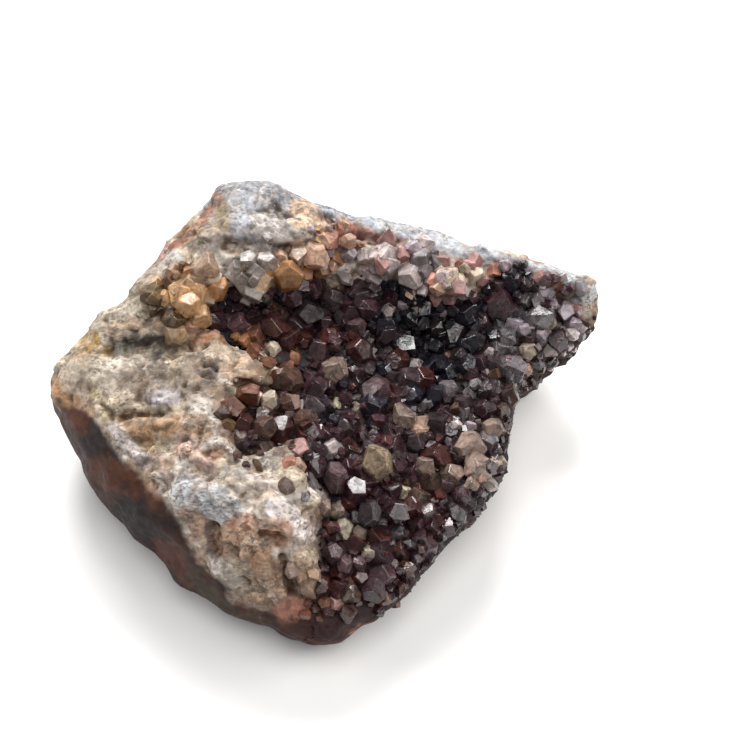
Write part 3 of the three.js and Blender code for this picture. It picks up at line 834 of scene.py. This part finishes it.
# Crystals that stand out, by tint: (column, row, width). Column and row are in the photograph's
# frame, and the width is in millimetres.
LINING_STANDOUTS = {
    "white": [
        (388, 312, 2.4), (415, 365, 2.0), (301, 409, 2.6), (332, 446, 2.8), (373, 435, 1.8),
        (489, 352, 1.8), (487, 372, 2.2), (458, 354, 2.2), (455, 425, 1.8), (375, 521, 1.6),
        (390, 541, 1.6), (392, 564, 1.8),
    ],
    "lilac": [
        (404, 305, 1.9), (432, 447, 2.0), (353, 495, 1.8), (470, 427, 2.0), (450, 443, 2.0),
        (402, 518, 2.0), (573, 325, 2.4), (443, 313, 2.0), (548, 293, 3.0),
    ],
    "cream": [
        (403, 494, 2.8), (342, 506, 2.0), (528, 352, 3.0), (548, 325, 3.0), (490, 458, 3.6),
        (503, 462, 2.0), (345, 528, 3.2), (368, 551, 2.4),
    ],
    "tan": [
        (333, 372, 4.8), (400, 413, 4.4), (423, 468, 3.8), (355, 408, 2.4), (325, 508, 2.4),
        (550, 350, 3.0), (493, 430, 3.0), (333, 537, 2.6), (360, 533, 2.8), (416, 312, 2.6),
        (455, 472, 3.4), (333, 510, 2.2),
    ],
    "straw": [(378, 463, 4.6)],
    "olive": [(338, 403, 2.8)],
    "peach": [(420, 427, 4.2), (527, 370, 2.6), (480, 478, 2.6)],
    "ash": [
        (447, 390, 3.8), (425, 405, 2.0), (500, 325, 2.4), (517, 312, 2.4), (475, 385, 2.0),
        (467, 455, 2.6), (463, 413, 2.2), (398, 533, 2.4), (525, 300, 2.4), (580, 336, 2.0),
        (485, 440, 3.4),
    ],
    "rose": [(448, 357, 2.2), (302, 368, 2.6), (575, 308, 2.2), (335, 600, 2.6)],
    "mauve": [
        (356, 328, 3.6), (333, 478, 4.8), (428, 510, 3.6), (332, 553, 3.2), (380, 572, 4.6),
        (345, 563, 2.8), (358, 563, 2.6), (430, 545, 3.4), (375, 390, 5.0), (448, 485, 3.4),
        (468, 487, 3.8), (318, 350, 4.2), (228, 320, 2.4),
    ],
    "smoky": [
        (311, 313, 5.0), (330, 300, 4.4), (388, 355, 3.8), (415, 445, 3.6), (345, 430, 3.2),
        (368, 515, 3.8), (455, 510, 3.2), (243, 445, 3.0), (355, 520, 2.6),
    ],
    "brown": [
        (430, 483, 3.4), (510, 395, 3.4), (500, 410, 3.4), (263, 432, 4.0), (262, 447, 3.4),
        (350, 595, 3.0), (345, 612, 3.0),
    ],
    "maroon": [
        (360, 352, 4.8), (400, 550, 3.4), (357, 578, 3.2), (288, 338, 5.2), (272, 326, 4.6),
        (245, 425, 3.2), (280, 430, 4.6),
    ],
    "plum": [
        (482, 365, 3.6), (485, 408, 3.8), (375, 588, 4.4), (298, 325, 4.2), (560, 338, 3.2),
        (275, 407, 2.4), (497, 287, 2.8),
    ],
}
RIM_STANDOUTS = {
    "bronze": [
        (152, 292, 3.6), (162, 307, 4.2), (156, 301, 3.4), (171, 316, 3.2), (176, 322, 3.2),
        (230, 425, 2.8),
    ],
    "fawn": [(167, 286, 4.2), (206, 268, 4.4), (176, 268, 3.4), (283, 262, 3.6), (253, 399, 3.0)],
    "sand": [(188, 283, 5.2), (178, 332, 3.6), (264, 280, 4.0)],
    "honey": [
        (198, 294, 4.6), (190, 305, 4.0), (180, 312, 3.8), (196, 316, 4.0), (175, 298, 3.6),
        (203, 304, 3.4),
    ],
    "amber": [
        (213, 290, 4.6), (192, 272, 3.2), (288, 277, 5.0), (321, 270, 3.2), (303, 273, 3.6),
        (270, 270, 3.0), (248, 330, 2.0), (236, 338, 1.8),
    ],
    "cream": [(212, 278, 3.2), (474, 276, 3.6), (273, 350, 2.4), (268, 400, 3.0)],
    "peach": [(194, 326, 3.0), (314, 257, 4.8), (345, 226, 1.8), (441, 272, 2.4), (298, 466, 3.2)],
    "stone": [
        (236, 272, 4.2), (250, 262, 3.8), (252, 291, 4.6), (268, 262, 3.0), (243, 282, 3.4),
        (246, 300, 3.0),
    ],
    "ash": [(424, 270, 3.2), (370, 283, 2.2), (312, 485, 3.0), (315, 506, 3.8)],
    "white": [
        (389, 262, 4.8), (408, 277, 4.0), (446, 284, 3.0), (464, 291, 2.6), (350, 285, 2.0),
        (342, 276, 2.0),
    ],
    "lilac": [(330, 250, 2.2), (352, 254, 2.6), (413, 250, 2.6)],
    "rose": [
        (402, 254, 2.4), (450, 297, 3.6), (436, 297, 3.0), (474, 261, 2.4), (540, 276, 2.0),
        (300, 448, 3.2),
    ],
    "coral": [(434, 281, 2.4), (494, 270, 2.6), (297, 457, 2.4)],
    "orange": [(336, 259, 3.4), (295, 357, 2.6)],
    "russet": [
        (256, 338, 5.4), (263, 352, 3.4), (461, 267, 2.6), (556, 286, 1.8), (233, 408, 3.2),
        (287, 370, 3.0),
    ],
    "brown": [(286, 486, 2.4), (262, 392, 2.8), (240, 440, 3.0)],
    "dark": [(385, 281, 2.6), (511, 273, 2.0)],
}

# The middle of the hollow in the frame, where the lining's tints get painted shade: column, row,
# and half its width and height.
HOLLOW_PAINTED_SHADE = (430, 338, 62, 38)

# Tints of the crystals between them: [column, row, radius, shares of each tint].
LINING_ZONES = [
    # the hollow's middle: mostly dark tints, which paint its shade too
    [440, 330, 60, {"dark": 8, "plum": 2, "smoky": 1}],
    [340, 310, 50, {"plum": 6, "smoky": 3, "maroon": 2, "mauve": 1}],
    [562, 308, 38, {"ash": 3, "lilac": 6, "mauve": 3, "white": 6, "plum": 2}],
    [516, 276, 24, {"smoky": 2, "ash": 4, "lilac": 4, "dark": 2}],
    [290, 335, 30, {"maroon": 5, "russet": 3, "plum": 2}],
    [225, 305, 35, {"plum": 5, "dark": 2, "maroon": 1}],
    [262, 418, 36, {"maroon": 5, "russet": 2, "mauve": 1, "brown": 4}],
    [370, 400, 55, {"plum": 6, "smoky": 3, "maroon": 2, "dark": 1}],
    [480, 430, 45, {"brown": 3, "plum": 3, "smoky": 3, "maroon": 1}],
    [470, 470, 22, {"tan": 6, "stone": 3, "ash": 2, "brown": 1}],
    [505, 365, 35, {"smoky": 3, "plum": 3, "brown": 2, "ash": 2, "mauve": 2}],
    [360, 490, 50, {"maroon": 4, "plum": 5, "brown": 1, "smoky": 1}],
    [420, 510, 45, {"brown": 1, "maroon": 3, "plum": 4, "smoky": 2}],
    [360, 580, 40, {"maroon": 5, "russet": 1, "brown": 1, "plum": 3}],
    [342, 604, 15, {"fawn": 2, "russet": 2, "rose": 1, "maroon": 1}],
]
RIM_ZONES = [
    [185, 290, 34, {"honey": 3, "bronze": 2, "fawn": 2, "amber": 1}],
    [245, 275, 22, {"stone": 5, "fawn": 1}],
    [290, 265, 20, {"amber": 2, "fawn": 2, "peach": 1}],
    [320, 250, 22, {"peach": 2, "honey": 2, "lilac": 1}],
    [345, 240, 18, {"russet": 4, "peach": 1, "coral": 2}],
    [380, 265, 24, {"white": 3, "rose": 2, "ash": 2, "lilac": 1}],
    [425, 270, 26, {"white": 3, "ash": 2, "rose": 1, "peach": 1}],
    [465, 280, 24, {"rose": 3, "cream": 2, "russet": 1}],
    [513, 273, 20, {"smoky": 3, "ash": 4, "lilac": 2, "dark": 2}],
    [562, 292, 30, {"mauve": 3, "ash": 2, "lilac": 4, "white": 3, "plum": 2}],
    [258, 345, 18, {"russet": 3, "orange": 1}],
    [280, 368, 16, {"russet": 3, "fawn": 1, "brown": 2}],
    [245, 412, 24, {"russet": 3, "fawn": 2, "brown": 4}],
    [255, 444, 22, {"brown": 5, "bronze": 2}],
    [300, 455, 14, {"rose": 2, "coral": 2}],
    [312, 495, 14, {"ash": 2, "lilac": 1}],
    [300, 575, 16, {"fawn": 2, "tan": 1}],
    [320, 600, 22, {"russet": 2, "maroon": 3, "brown": 3}],
]


def zone_tint(zones, place, random):
    """A tint drawn from the zones round a place in the frame."""
    weights = {}
    for column, row, radius, shares in zones:
        away = (place[0] - column) ** 2 + (place[1] - row) ** 2
        near = math.exp(-away / (0.5 * radius ** 2))
        for name, share in shares.items():
            weights[name] = weights.get(name, 0) + near * share / sum(shares.values())
    names = sorted(weights)
    chances = np.array([weights[n] for n in names]) + 1e-9
    name = names[random.choice(len(names), p=chances / chances.sum())]
    return np.array(TINTS[name]) * random.uniform(0.75, 1.2)


# ---------------------------------------------------------------- crystals

def make_bed():
    """The crust that the lining's crystals grow from."""
    bed = remeshed(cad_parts["crystal_crust"], BED_VOXEL, "crust_bed")
    mesh = bed.data
    points = nudged(relaxed(mesh, points_of(mesh), 6))
    set_points(mesh, points)
    relief = 0.35 * fractal(points, 2.2, 111, 3) - 0.35
    set_points(mesh, points + normals_of(mesh) * relief[:, None])
    paint(mesh, toned(np.tile(BED, (len(points), 1)), points, BED_TONES), "POINT")
    return bed


def first_hit(start, way):
    """Where a ray first meets the bed or the rock, and the normal there."""
    hit, normal, _, away = bed_tree.ray_cast(start, way)
    rock_hit, rock_normal, _, rock_away = rock_tree.ray_cast(start, way)
    if hit is None or (rock_hit is not None and rock_away < away - 0.3):
        hit, normal = rock_hit, rock_normal
    if hit is None:
        return None
    return np.array(hit), np.array(normal)


def edge_share(seat, reach):
    """Share of the directions round a seat in which the object ends within reach.

    The directions are those in the photograph's plane.
    """
    lost = 0
    for step in range(8):
        turn = step * math.pi / 4
        beside = seat + reach * (math.cos(turn) * RIGHT + math.sin(turn) * UP)
        start = Vector(beside - OUTLINE_RAY * FORWARD)
        if rock_tree.ray_cast(start, Vector(FORWARD))[0] is None:
            lost += bed_tree.ray_cast(start, Vector(FORWARD))[0] is None
    return lost / 8


def stance(seat, normal, width, sunk, lean):
    """Axis and place of a crystal. It sits deeper if it leans a lot or is near the outline."""
    near = min(1, 4 * edge_share(seat, width))
    axis = unit(0.6 * normal + 0.65 * np.array(OPEN_SIDE) + (1 - 0.6 * near) * lean)
    buried = 0.5 * (1 - max(0.0, normal @ axis)) + 0.15 * near
    return axis, seat - width * (sunk * axis + buried * normal)


def tip_inside(axis, place, width):
    """Whether a crystal's tip stays inside the object's outline, as the photograph shows it."""
    return not edge_share(place + 0.75 * width * axis, 0.3 * width)


def in_solid(point):
    """Whether a point is inside the rock or the bed, or in the thin gap under the bed.

    A ray from inside a solid first meets a face from behind.
    """
    for tree in (rock_tree, bed_tree):
        hit, normal, _, away = tree.ray_cast(Vector(point), OPEN_SIDE)
        if hit is not None and (normal.dot(OPEN_SIDE) > 0 or away < GAP):
            return True
    return False


def rooted(axis, place, width, root=ROOT):
    """Whether all the lower end of a crystal is inside the rock or the bed."""
    side = unit(np.cross(axis, (1.0, 0.0, 0.0)))
    across = np.cross(axis, side)
    foot = place - root * width * axis
    for turn in np.arange(6) * math.pi / 3:
        out = math.cos(turn) * side + math.sin(turn) * across
        if not in_solid(foot + 0.5 * width * out):
            return False
    return True


def settled(axis, place, normal, width):
    """The crystal's place, moved down until its foot is in the rock and its tip within the outline.

    The second value is whether it got there.
    """
    for _ in range(6):
        if not rooted(axis, place, width):
            place = place - SETTLING_STEP * width * normal
        elif not tip_inside(axis, place, width):
            place = place - SETTLING_STEP * width * axis
        else:
            return place, True
    return place, False


def make_standouts(batch, standouts, seed, shade, sunk, taken):
    """Crystals at the places listed for each tint. Their seats and widths are added to taken."""
    for name, rows in standouts.items():
        for column, row, width in rows:
            own = np.random.default_rng(seed + 1000 * column + row)
            seat, normal = first_hit(Vector(EYE), sight(column, row))
            crystal = quartz(own, own.uniform(0.05, 0.5), ROOT, own.uniform(0.2, 0.8), 0.42)
            shape = triangles(own, *crystal, bevel=0.03, contrast=0.2)
            lean = 1.1 * (own.random(3) - 0.5)
            for smaller in (1.0, 0.8, 0.8):
                width = width * smaller
                axis, place = stance(seat, normal, width, sunk, lean)
                place, fits = settled(axis, place, normal, width)
                if fits:
                    break
            if not fits:
                continue
            size = width * np.array([own.uniform(0.9, 1.1), 1.0, own.uniform(0.8, 1.1)])
            tint = np.array(TINTS[name]) * shade * own.uniform(0.9, 1.1)
            planted(batch, shape, place, axis, size, own.uniform(0, FULL_TURN), tint, 0.5)
            taken.append((*seat, width))


def open_grid(pitch, random):
    """Yields the starts of the grid's rays, on a shaken hexagonal grid."""
    right = (Vector((1, 0, 0)) - OPEN_SIDE * OPEN_SIDE[0]).normalized()
    across = OPEN_SIDE.cross(right)
    reach = int(GRID_REACH / pitch)
    for j in range(-reach, reach + 1):
        for i in range(-reach, reach + 1):
            a = (i + (j % 2) / 2 + random.uniform(-GRID_SHAKE, GRID_SHAKE)) * pitch
            b = (j * math.sqrt(0.75) + random.uniform(-GRID_SHAKE, GRID_SHAKE)) * pitch
            yield MIDDLE + right * a + across * b + OPEN_SIDE * GRID_HEIGHT


def seats(pitch, random):
    """Yields seats for crystals, about pitch apart, all over the side that the hollow opens to.

    With each seat come the normal there, its place in the frame, how far inside the lining's
    outline that place is, and ten random numbers from 0 to 1.
    """
    for start in open_grid(pitch, random):
        rolls = random.random(10)
        found = first_hit(start, -OPEN_SIDE)
        if found is not None:
            seat, normal = found
            place = in_frame(seat)
            yield seat, normal, place, depth_inside(place[None], DRUSE_OUTLINE)[0], rolls


def shapes_of(random, count, prism, minor, root=ROOT, bevel=0.02):
    """Crystals to pick from, as triangles. prism and minor are ranges."""
    made = []
    for _ in range(count):
        crystal = quartz(random, random.uniform(*prism), root, random.uniform(*minor), 0.35)
        made.append(triangles(random, *crystal, bevel=bevel, contrast=0.17))
    return made


def picked(shapes, roll):
    """The shape that a random number from 0 to 1 picks."""
    return shapes[int(roll * len(shapes))]


def near_standout(seat, taken, share):
    """Whether a seat is within a share of a width of a crystal that stands out."""
    return (np.linalg.norm(taken[:, :3] - seat, axis=1) < share * taken[:, 3]).any()


def lining_tint(place, random):
    """The tint at a place in the lining, with painted shade that darkens it in the middle of the
    hollow.
    """
    tint = zone_tint(LINING_ZONES, place, random)
    column, row, half_width, half_height = HOLLOW_PAINTED_SHADE
    depth = math.hypot((place[0] - column) / half_width, (place[1] - row) / half_height)
    # painted shade: darker towards the middle of the hollow
    return tint * (0.4 + 0.6 * ramp(depth, 0.4, 1.3))


def line_with_crystals(batch, random, pitch, widths, sunk, clear, taken):
    """Crystals all over the hollow, pitch apart, sunk by a share of their width.

    They keep out of the middle of the crystals that stand out, and get small near the outer edge.
    """
    shapes = shapes_of(random, 24, (0.0, 0.45), (0.2, 0.9))
    for seat, normal, place, inside, rolls in seats(pitch, random):
        if inside < -1.5 or near_standout(seat, taken, clear) or edge_share(seat, 0.7):
            continue
        width = widths[0] + (widths[1] - widths[0]) * rolls[0] ** 1.3
        if edge_share(seat, 0.7 * width + 0.4):
            width = 1.1 + 0.7 * rolls[0]
        size = width * np.array([0.85 + 0.35 * rolls[7], 1.0, 0.8 + 0.4 * rolls[8]])
        axis, seat = stance(seat, normal, width, sunk + 0.2 * rolls[4], 1.1 * (rolls[1:4] - 0.5))
        seat, fits = settled(axis, seat, normal, width)
        if fits:
            tint = lining_tint(place, random)
            spin = FULL_TURN * rolls[6]
            planted(batch, picked(shapes, rolls[5]), seat, axis, size, spin, tint)


def fill_gaps(batch, random, pitch):
    """Small crystals, deeply sunk, between the others and down the outer side of the crust."""
    shapes = shapes_of(random, 16, (0.0, 0.3), (0.2, 0.8), 0, 0)
    for seat, normal, place, inside, rolls in seats(pitch, random):
        if inside < 0 or seat[2] < 2:
            continue
        width = 1.1 + 1.0 * rolls[0]
        axis = unit(normal + 0.6 * (rolls[1:4] - 0.5))
        seat = seat - axis * (0.45 + 0.2 * rolls[4]) * width
        if rooted(axis, seat, width, 0):
            tint = zone_tint(LINING_ZONES, place, random) * 0.6
            spin = FULL_TURN * rolls[6]
            planted(batch, picked(shapes, rolls[5]), seat, axis, width, spin, tint, 0.9)


def make_lining(taken):
    """The many crystals between those that stand out, the broad ones first."""
    batch = Batch()
    random = np.random.default_rng(11)
    line_with_crystals(batch, random, 2.8, (2.9, 4.8), 0.05, 0.62, taken)
    line_with_crystals(batch, random, 2.0, (1.4, 2.7), -0.08, 0.54, taken)
    fill_gaps(batch, random, 1.35)
    return batch.make("lining_crystals")


def rim_strength(place):
    """1 in the middle of a zone of the rim's crystals, falling to 0 away from them all."""
    strengths = []
    for column, row, radius, _ in RIM_ZONES:
        away = (place[0] - column) ** 2 + (place[1] - row) ** 2
        strengths.append(math.exp(-away / radius ** 2))
    return max(strengths)


def make_rim(batch, taken):
    """Crystals close together along the hollow's edge, added to those that stand out there."""
    random = np.random.default_rng(23)
    shapes = shapes_of(random, 16, (0.05, 0.5), (0.2, 0.8))
    for seat, normal, place, inside, rolls in seats(1.8, random):
        if inside > 1.5 or rim_strength(place) < 0.30 + 0.35 * rolls[9]:
            continue
        if near_standout(seat, taken, 0.3):
            continue
        width = 1.3 + 2.2 * rolls[0] ** 1.6
        if edge_share(seat, 1.0 + 0.4 * width):
            continue
        size = width * np.array([0.75 + 0.4 * rolls[7], 1.0, 0.85 + 0.7 * rolls[8]])
        axis, seat = stance(seat, normal, width, 0.12 + 0.2 * rolls[4], 1.2 * (rolls[1:4] - 0.5))
        seat, fits = settled(axis, seat, normal, width)
        if fits:
            tint = zone_tint(RIM_ZONES, place, random)
            spin = FULL_TURN * rolls[6]
            planted(batch, picked(shapes, rolls[5]), seat, axis, size, spin, tint, 0.7)
    return batch.make("rim_crystals")


def spread(points, order, spacing):
    """Yields the numbers of points that are at least spacing apart, taken in the given order."""
    cells = {}
    around = list(itertools.product((-1, 0, 1), repeat=3))
    for index in order:
        p = points[index]
        key = tuple(np.floor(p / spacing).astype(int))
        keys = ((key[0] + a, key[1] + b, key[2] + c) for a, b, c in around)
        if any(np.sum((cells[k] - p) ** 2) < spacing ** 2 for k in keys if k in cells):
            continue
        cells[key] = p
        yield index


def make_grains(rock):
    """Broken quartz grains sunk in the rock's skin, so that only their corners show."""
    batch = Batch()
    random = np.random.default_rng(31)
    shapes = [shard(random) for _ in range(24)]
    points = points_of(rock.data)
    broad = broad_normals(rock.data, 10)
    plain = np.maximum(dark_skin(points, broad), druse_share(points, broad))
    colours = rock_colours(points, broad)
    wanted = (points[:, 2] >= 1.5) & (plain <= 0.35) & (broad @ FORWARD <= -0.25)
    order = random.permutation(len(points))
    for index in spread(points, order[wanted[order]], 1.7):
        rolls = random.random(8)
        width = 1.4 + 1.8 * rolls[0] ** 2
        tint = colours[index] * (0.85 + 0.35 * rolls[1])
        axis = unit(broad[index] + 0.7 * (rolls[3:6] - 0.5))
        size = width * np.array([1.25, 0.9, 0.6 + 0.3 * rolls[6]])
        seat = points[index] - 0.38 * width * broad[index]
        planted(batch, picked(shapes, rolls[7]), seat, axis, size, FULL_TURN * rolls[2], tint, 0.95)
    return batch.make("rock_grains")


rock = make_rock()
bed = make_bed()
rock_tree = tree_of(rock)  # the functions above cast their rays at these two trees
bed_tree = tree_of(bed)
large, rim, taken = Batch(), Batch(), []
make_standouts(large, LINING_STANDOUTS, 1, 0.9, 0.12, taken)
make_standouts(rim, RIM_STANDOUTS, 2, 1.0, 0.24, taken)
taken = np.array(taken)
large_crystals = large.make("large_crystals")
lining_crystals = make_lining(taken)
rim_crystals = make_rim(rim, taken)
rock_grains = make_grains(rock)


# ---------------------------------------------------------------- materials

class Look:
    """A node material with one Principled shader. Sizes and distances are in millimetres."""

    def __init__(self, name):
        self.material = bpy.data.materials.new(name)
        self.material.use_nodes = True
        self.nodes = self.material.node_tree.nodes
        self.links = self.material.node_tree.links
        self.nodes.clear()
        self.output = self.nodes.new("ShaderNodeOutputMaterial")
        self.shader = self.nodes.new("ShaderNodeBsdfPrincipled")
        self.links.new(self.shader.outputs[0], self.output.inputs["Surface"])

    def fed(self, node, inputs):
        """The node, with each of the named inputs linked to a socket or set to a plain value."""
        for key, value in inputs.items():
            if isinstance(value, bpy.types.NodeSocket):
                self.links.new(value, node.inputs[key])
            else:
                node.inputs[key].default_value = value
        return node

    def new(self, kind, inputs):
        """A new node of a kind, fed with the inputs."""
        return self.fed(self.nodes.new("ShaderNode" + kind), inputs)

    def attribute(self, name):
        """Outputs of one of the mesh's own attributes."""
        node = self.nodes.new("ShaderNodeAttribute")
        node.attribute_name = name
        return node.outputs

    def texture(self, kind, size, stretch, **settings):
        """Outputs of a texture in object coordinates, whose features are about size across."""
        where = self.nodes.new("ShaderNodeTexCoord").outputs["Object"]
        vector = self.new("Mapping", {"Vector": where, "Scale": stretch}).outputs["Vector"]
        return self.new(kind, {"Vector": vector, "Scale": 1 / (size * MM), **settings}).outputs

    def noise(self, size, stretch=(1, 1, 1), **settings):
        return self.texture("TexNoise", size, stretch, **settings)["Fac"]

    def cell_numbers(self, size, stretch):
        """Three random numbers from 0 to 1 for each cell of a pattern, as Red, Green and Blue."""
        colour = self.texture("TexVoronoi", size, stretch)["Color"]
        return self.new("SeparateColor", {"Color": colour}).outputs

    def mapped(self, source, low, high, out_low, out_high):
        """Takes low to high of the source to out_low to out_high, and holds it there beyond."""
        span = {"From Min": low, "From Max": high, "To Min": out_low, "To Max": out_high}
        return self.new("MapRange", {"Value": source, **span}).outputs["Result"]

    def scaled(self, colour, factor):
        """A colour times a number."""
        node = self.nodes.new("ShaderNodeVectorMath")
        node.operation = "SCALE"
        return self.fed(node, {0: colour, "Scale": factor}).outputs[0]

    def product(self, a, b):
        """The product of two numbers."""
        node = self.nodes.new("ShaderNodeMath")
        node.operation = "MULTIPLY"
        return self.fed(node, {0: a, 1: b}).outputs[0]

    def blended(self, share, a, b):
        """Mix of two colours. b may be a plain colour."""
        node = self.nodes.new("ShaderNodeMix")
        node.data_type = "RGBA"
        b = (*b, 1) if isinstance(b, tuple) else b
        return self.fed(node, {"Factor": share, "A": a, "B": b}).outputs["Result"]

    def bump(self, height, strength, distance):
        """Makes the surface look uneven."""
        values = {"Strength": strength, "Distance": distance * MM, "Height": height}
        self.fed(self.shader, {"Normal": self.new("Bump", values).outputs[0]})


def rock_look():
    """Granular rock. It is smoother, with fewer flecks and a weaker bump, where the attribute
    smooth is 1.
    """
    look = Look("pale_granular_rock")
    smooth = look.attribute("smooth")["Fac"]
    rough_share = look.mapped(smooth, 0.0, 1.0, 1.0, 0.2)
    fine = look.noise(1.2, (0.8, 1, 1), Detail=6.0, Roughness=0.7)
    tint = look.scaled(look.attribute("tint")["Color"], look.mapped(fine, 0.3, 0.7, 0.72, 1.28))
    granules = look.cell_numbers(0.9, (0.8, 1, 1))
    tint = look.scaled(tint, look.mapped(granules["Red"], 0.0, 1.0, 0.82, 1.18))

    streaks = look.noise(0.5, (0.55, 1, 1), Detail=3.0, Distortion=0.6)
    flecks = look.cell_numbers(0.42, (0.8, 1, 1))
    often = look.mapped(look.noise(5.0, Detail=3.0), 0.42, 0.56, 0.3, 1.0)
    for source, low, high, strength, colour in (
        (streaks, 0.54, 0.62, 0.6, (0.055, 0.042, 0.036)),
        (flecks["Green"], 0.74, 0.82, 0.45, (0.075, 0.062, 0.058)),
    ):
        dark = look.product(look.mapped(source, low, high, 0.0, strength), often)
        tint = look.blended(look.product(dark, rough_share), tint, colour)
    bright = look.product(look.mapped(flecks["Blue"], 0.76, 0.84, 0.0, 0.4), rough_share)
    tint = look.blended(bright, tint, look.scaled(tint, 1.5))

    look.bump(fine, look.mapped(smooth, 0.0, 1.0, 0.6, 0.12), 0.4)
    gloss = look.mapped(fine, 0.3, 0.7, 0.5, 0.9)
    look.fed(look.shader, {"Base Color": tint, "Roughness": gloss, "Specular IOR Level": 0.18})
    return look.material


def quartz_look(
    name, transmission, roughness, absorb, density, contrast, uneven, frost, frost_tint
):
    """Part see-through quartz, with paler frosted spots. Its uneven faces break its glints up."""
    look = Look(name)
    cloud = look.noise(1.4, Detail=4.0, Roughness=0.6, Distortion=0.8)
    shade = look.mapped(cloud, 0.36, 0.64, 1 - contrast, 1 + contrast)
    tint = look.scaled(look.attribute("tint")["Color"], shade)
    spots = look.noise(0.9, Detail=5.0, Roughness=0.7)
    frosted = look.mapped(spots, 0.56, 0.70, 0.0, frost)
    steps = look.noise(1.2, Detail=1.5, Roughness=0.45, Distortion=0.5)
    look.bump(steps, uneven, 0.24)
    look.fed(look.shader, {
        "Base Color": look.blended(frosted, tint, frost_tint),
        "Roughness": look.mapped(steps, 0.35, 0.65, roughness * 0.7, roughness * 1.6),
        "IOR": 1.54,
        "Transmission Weight": transmission,
        "Specular IOR Level": 0.5,
    })
    volume = look.new("VolumeAbsorption", {"Color": (*absorb, 1), "Density": density})
    look.fed(look.output, {"Volume": volume.outputs[0]})
    return look.material


def bed_look():
    """The dull dark crust between the crystals."""
    look = Look("crust_bed")
    fine = look.noise(0.8, Detail=4.0, Roughness=0.65)
    shade = look.mapped(fine, 0.33, 0.67, 0.6, 1.4)
    look.bump(fine, 0.5, 0.15)
    look.fed(look.shader, {
        "Base Color": look.scaled(look.attribute("tint")["Color"], shade),
        "Roughness": look.mapped(fine, 0.35, 0.65, 0.35, 0.8),
        "Specular IOR Level": 0.2,
    })
    return look.material


stone = rock_look()
dark_quartz = quartz_look(
    "dark_quartz", transmission=0.5, roughness=0.22, absorb=(0.82, 0.6, 0.6), density=220,
    contrast=0.55, uneven=0.5, frost=0.08, frost_tint=(0.17, 0.11, 0.10))
clear_quartz = quartz_look(
    "clear_quartz", transmission=0.55, roughness=0.26, absorb=(0.88, 0.76, 0.66), density=120,
    contrast=0.55, uneven=0.5, frost=0.25, frost_tint=(0.46, 0.38, 0.33))
stained_quartz = quartz_look(
    "stained_quartz", transmission=0.5, roughness=0.36, absorb=(0.92, 0.76, 0.52), density=130,
    contrast=0.42, uneven=0.8, frost=0.25, frost_tint=(0.62, 0.48, 0.34))

for piece, look, slot in (
    (rock, stone, "pale_rock"),
    (rock_grains, stone, "pale_rock"),
    (rim_crystals, stained_quartz, "pale_rock"),
    (bed, bed_look(), "dark_quartz"),
    (lining_crystals, dark_quartz, "dark_quartz"),
    (large_crystals, clear_quartz, "dark_quartz"),
):
    piece.data.materials.append(look)
    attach(piece, "root")
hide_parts("matrix_rock")
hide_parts("crystal_crust")


# ---------------------------------------------------------------- floor, light and camera

def turned_to(obj, way):
    """Turns a light or the camera to look along way."""
    obj.rotation_mode = "QUATERNION"
    obj.rotation_quaternion = way.to_track_quat("-Z", "Y")


def area_light(name, azimuth, elevation, distance, size, power, colour):
    """A square light that faces the object. Azimuth 0 is in front and 90 at the right.

    Its distance and size are in metres, and its power in watts.
    """
    data = bpy.data.lights.new(name, "AREA")
    data.shape = "SQUARE"
    data.size = size
    data.energy = power
    data.color = colour
    obj = linked(name, data)
    a, e = math.radians(azimuth), math.radians(elevation)
    way = Vector((math.sin(a) * math.cos(e), -math.cos(a) * math.cos(e), math.sin(e)))
    obj.location = distance * way
    turned_to(obj, Vector((0, 0, 0.02)) - obj.location)


floor_mesh = bpy.data.meshes.new("floor")
floor_mesh.from_pydata([(-3, -3, 0), (3, -3, 0), (3, 3, 0), (-3, 3, 0)], [], [(0, 1, 2, 3)])
floor = linked("floor", floor_mesh)
paper = Look("floor_paper")
paper.fed(paper.shader, {"Base Color": (0.9, 0.9, 0.9, 1), "Roughness": 0.9})
floor_mesh.materials.append(paper.material)

area_light("window_back", 185, 42, 0.8, 0.42, 9.5, (1.0, 0.99, 0.98))
area_light("window_left", 262, 30, 0.8, 0.35, 1.9, (1.0, 0.97, 0.94))
area_light("window_right", 95, 35, 0.8, 0.4, 2.9, (1.0, 0.97, 0.94))
area_light("ceiling", 40, 78, 0.9, 0.6, 4.4, (1.0, 0.98, 0.96))

world = bpy.data.worlds.new("room")
world.use_nodes = True
background = world.node_tree.nodes["Background"]
background.inputs["Color"].default_value = (0.98, 0.99, 1.0, 1)
background.inputs["Strength"].default_value = 0.22
bpy.context.scene.world = world
bpy.context.scene.view_settings.view_transform = "Standard"
bpy.context.scene.view_settings.look = "None"

camera_data = bpy.data.cameras.new("camera")
camera_data.lens = LENS
camera_data.sensor_width = SENSOR
camera_data.clip_start = 0.01
camera = linked("camera", camera_data)
camera.location = EYE * MM
turned_to(camera, Vector(FORWARD))
bpy.context.scene.camera = camera
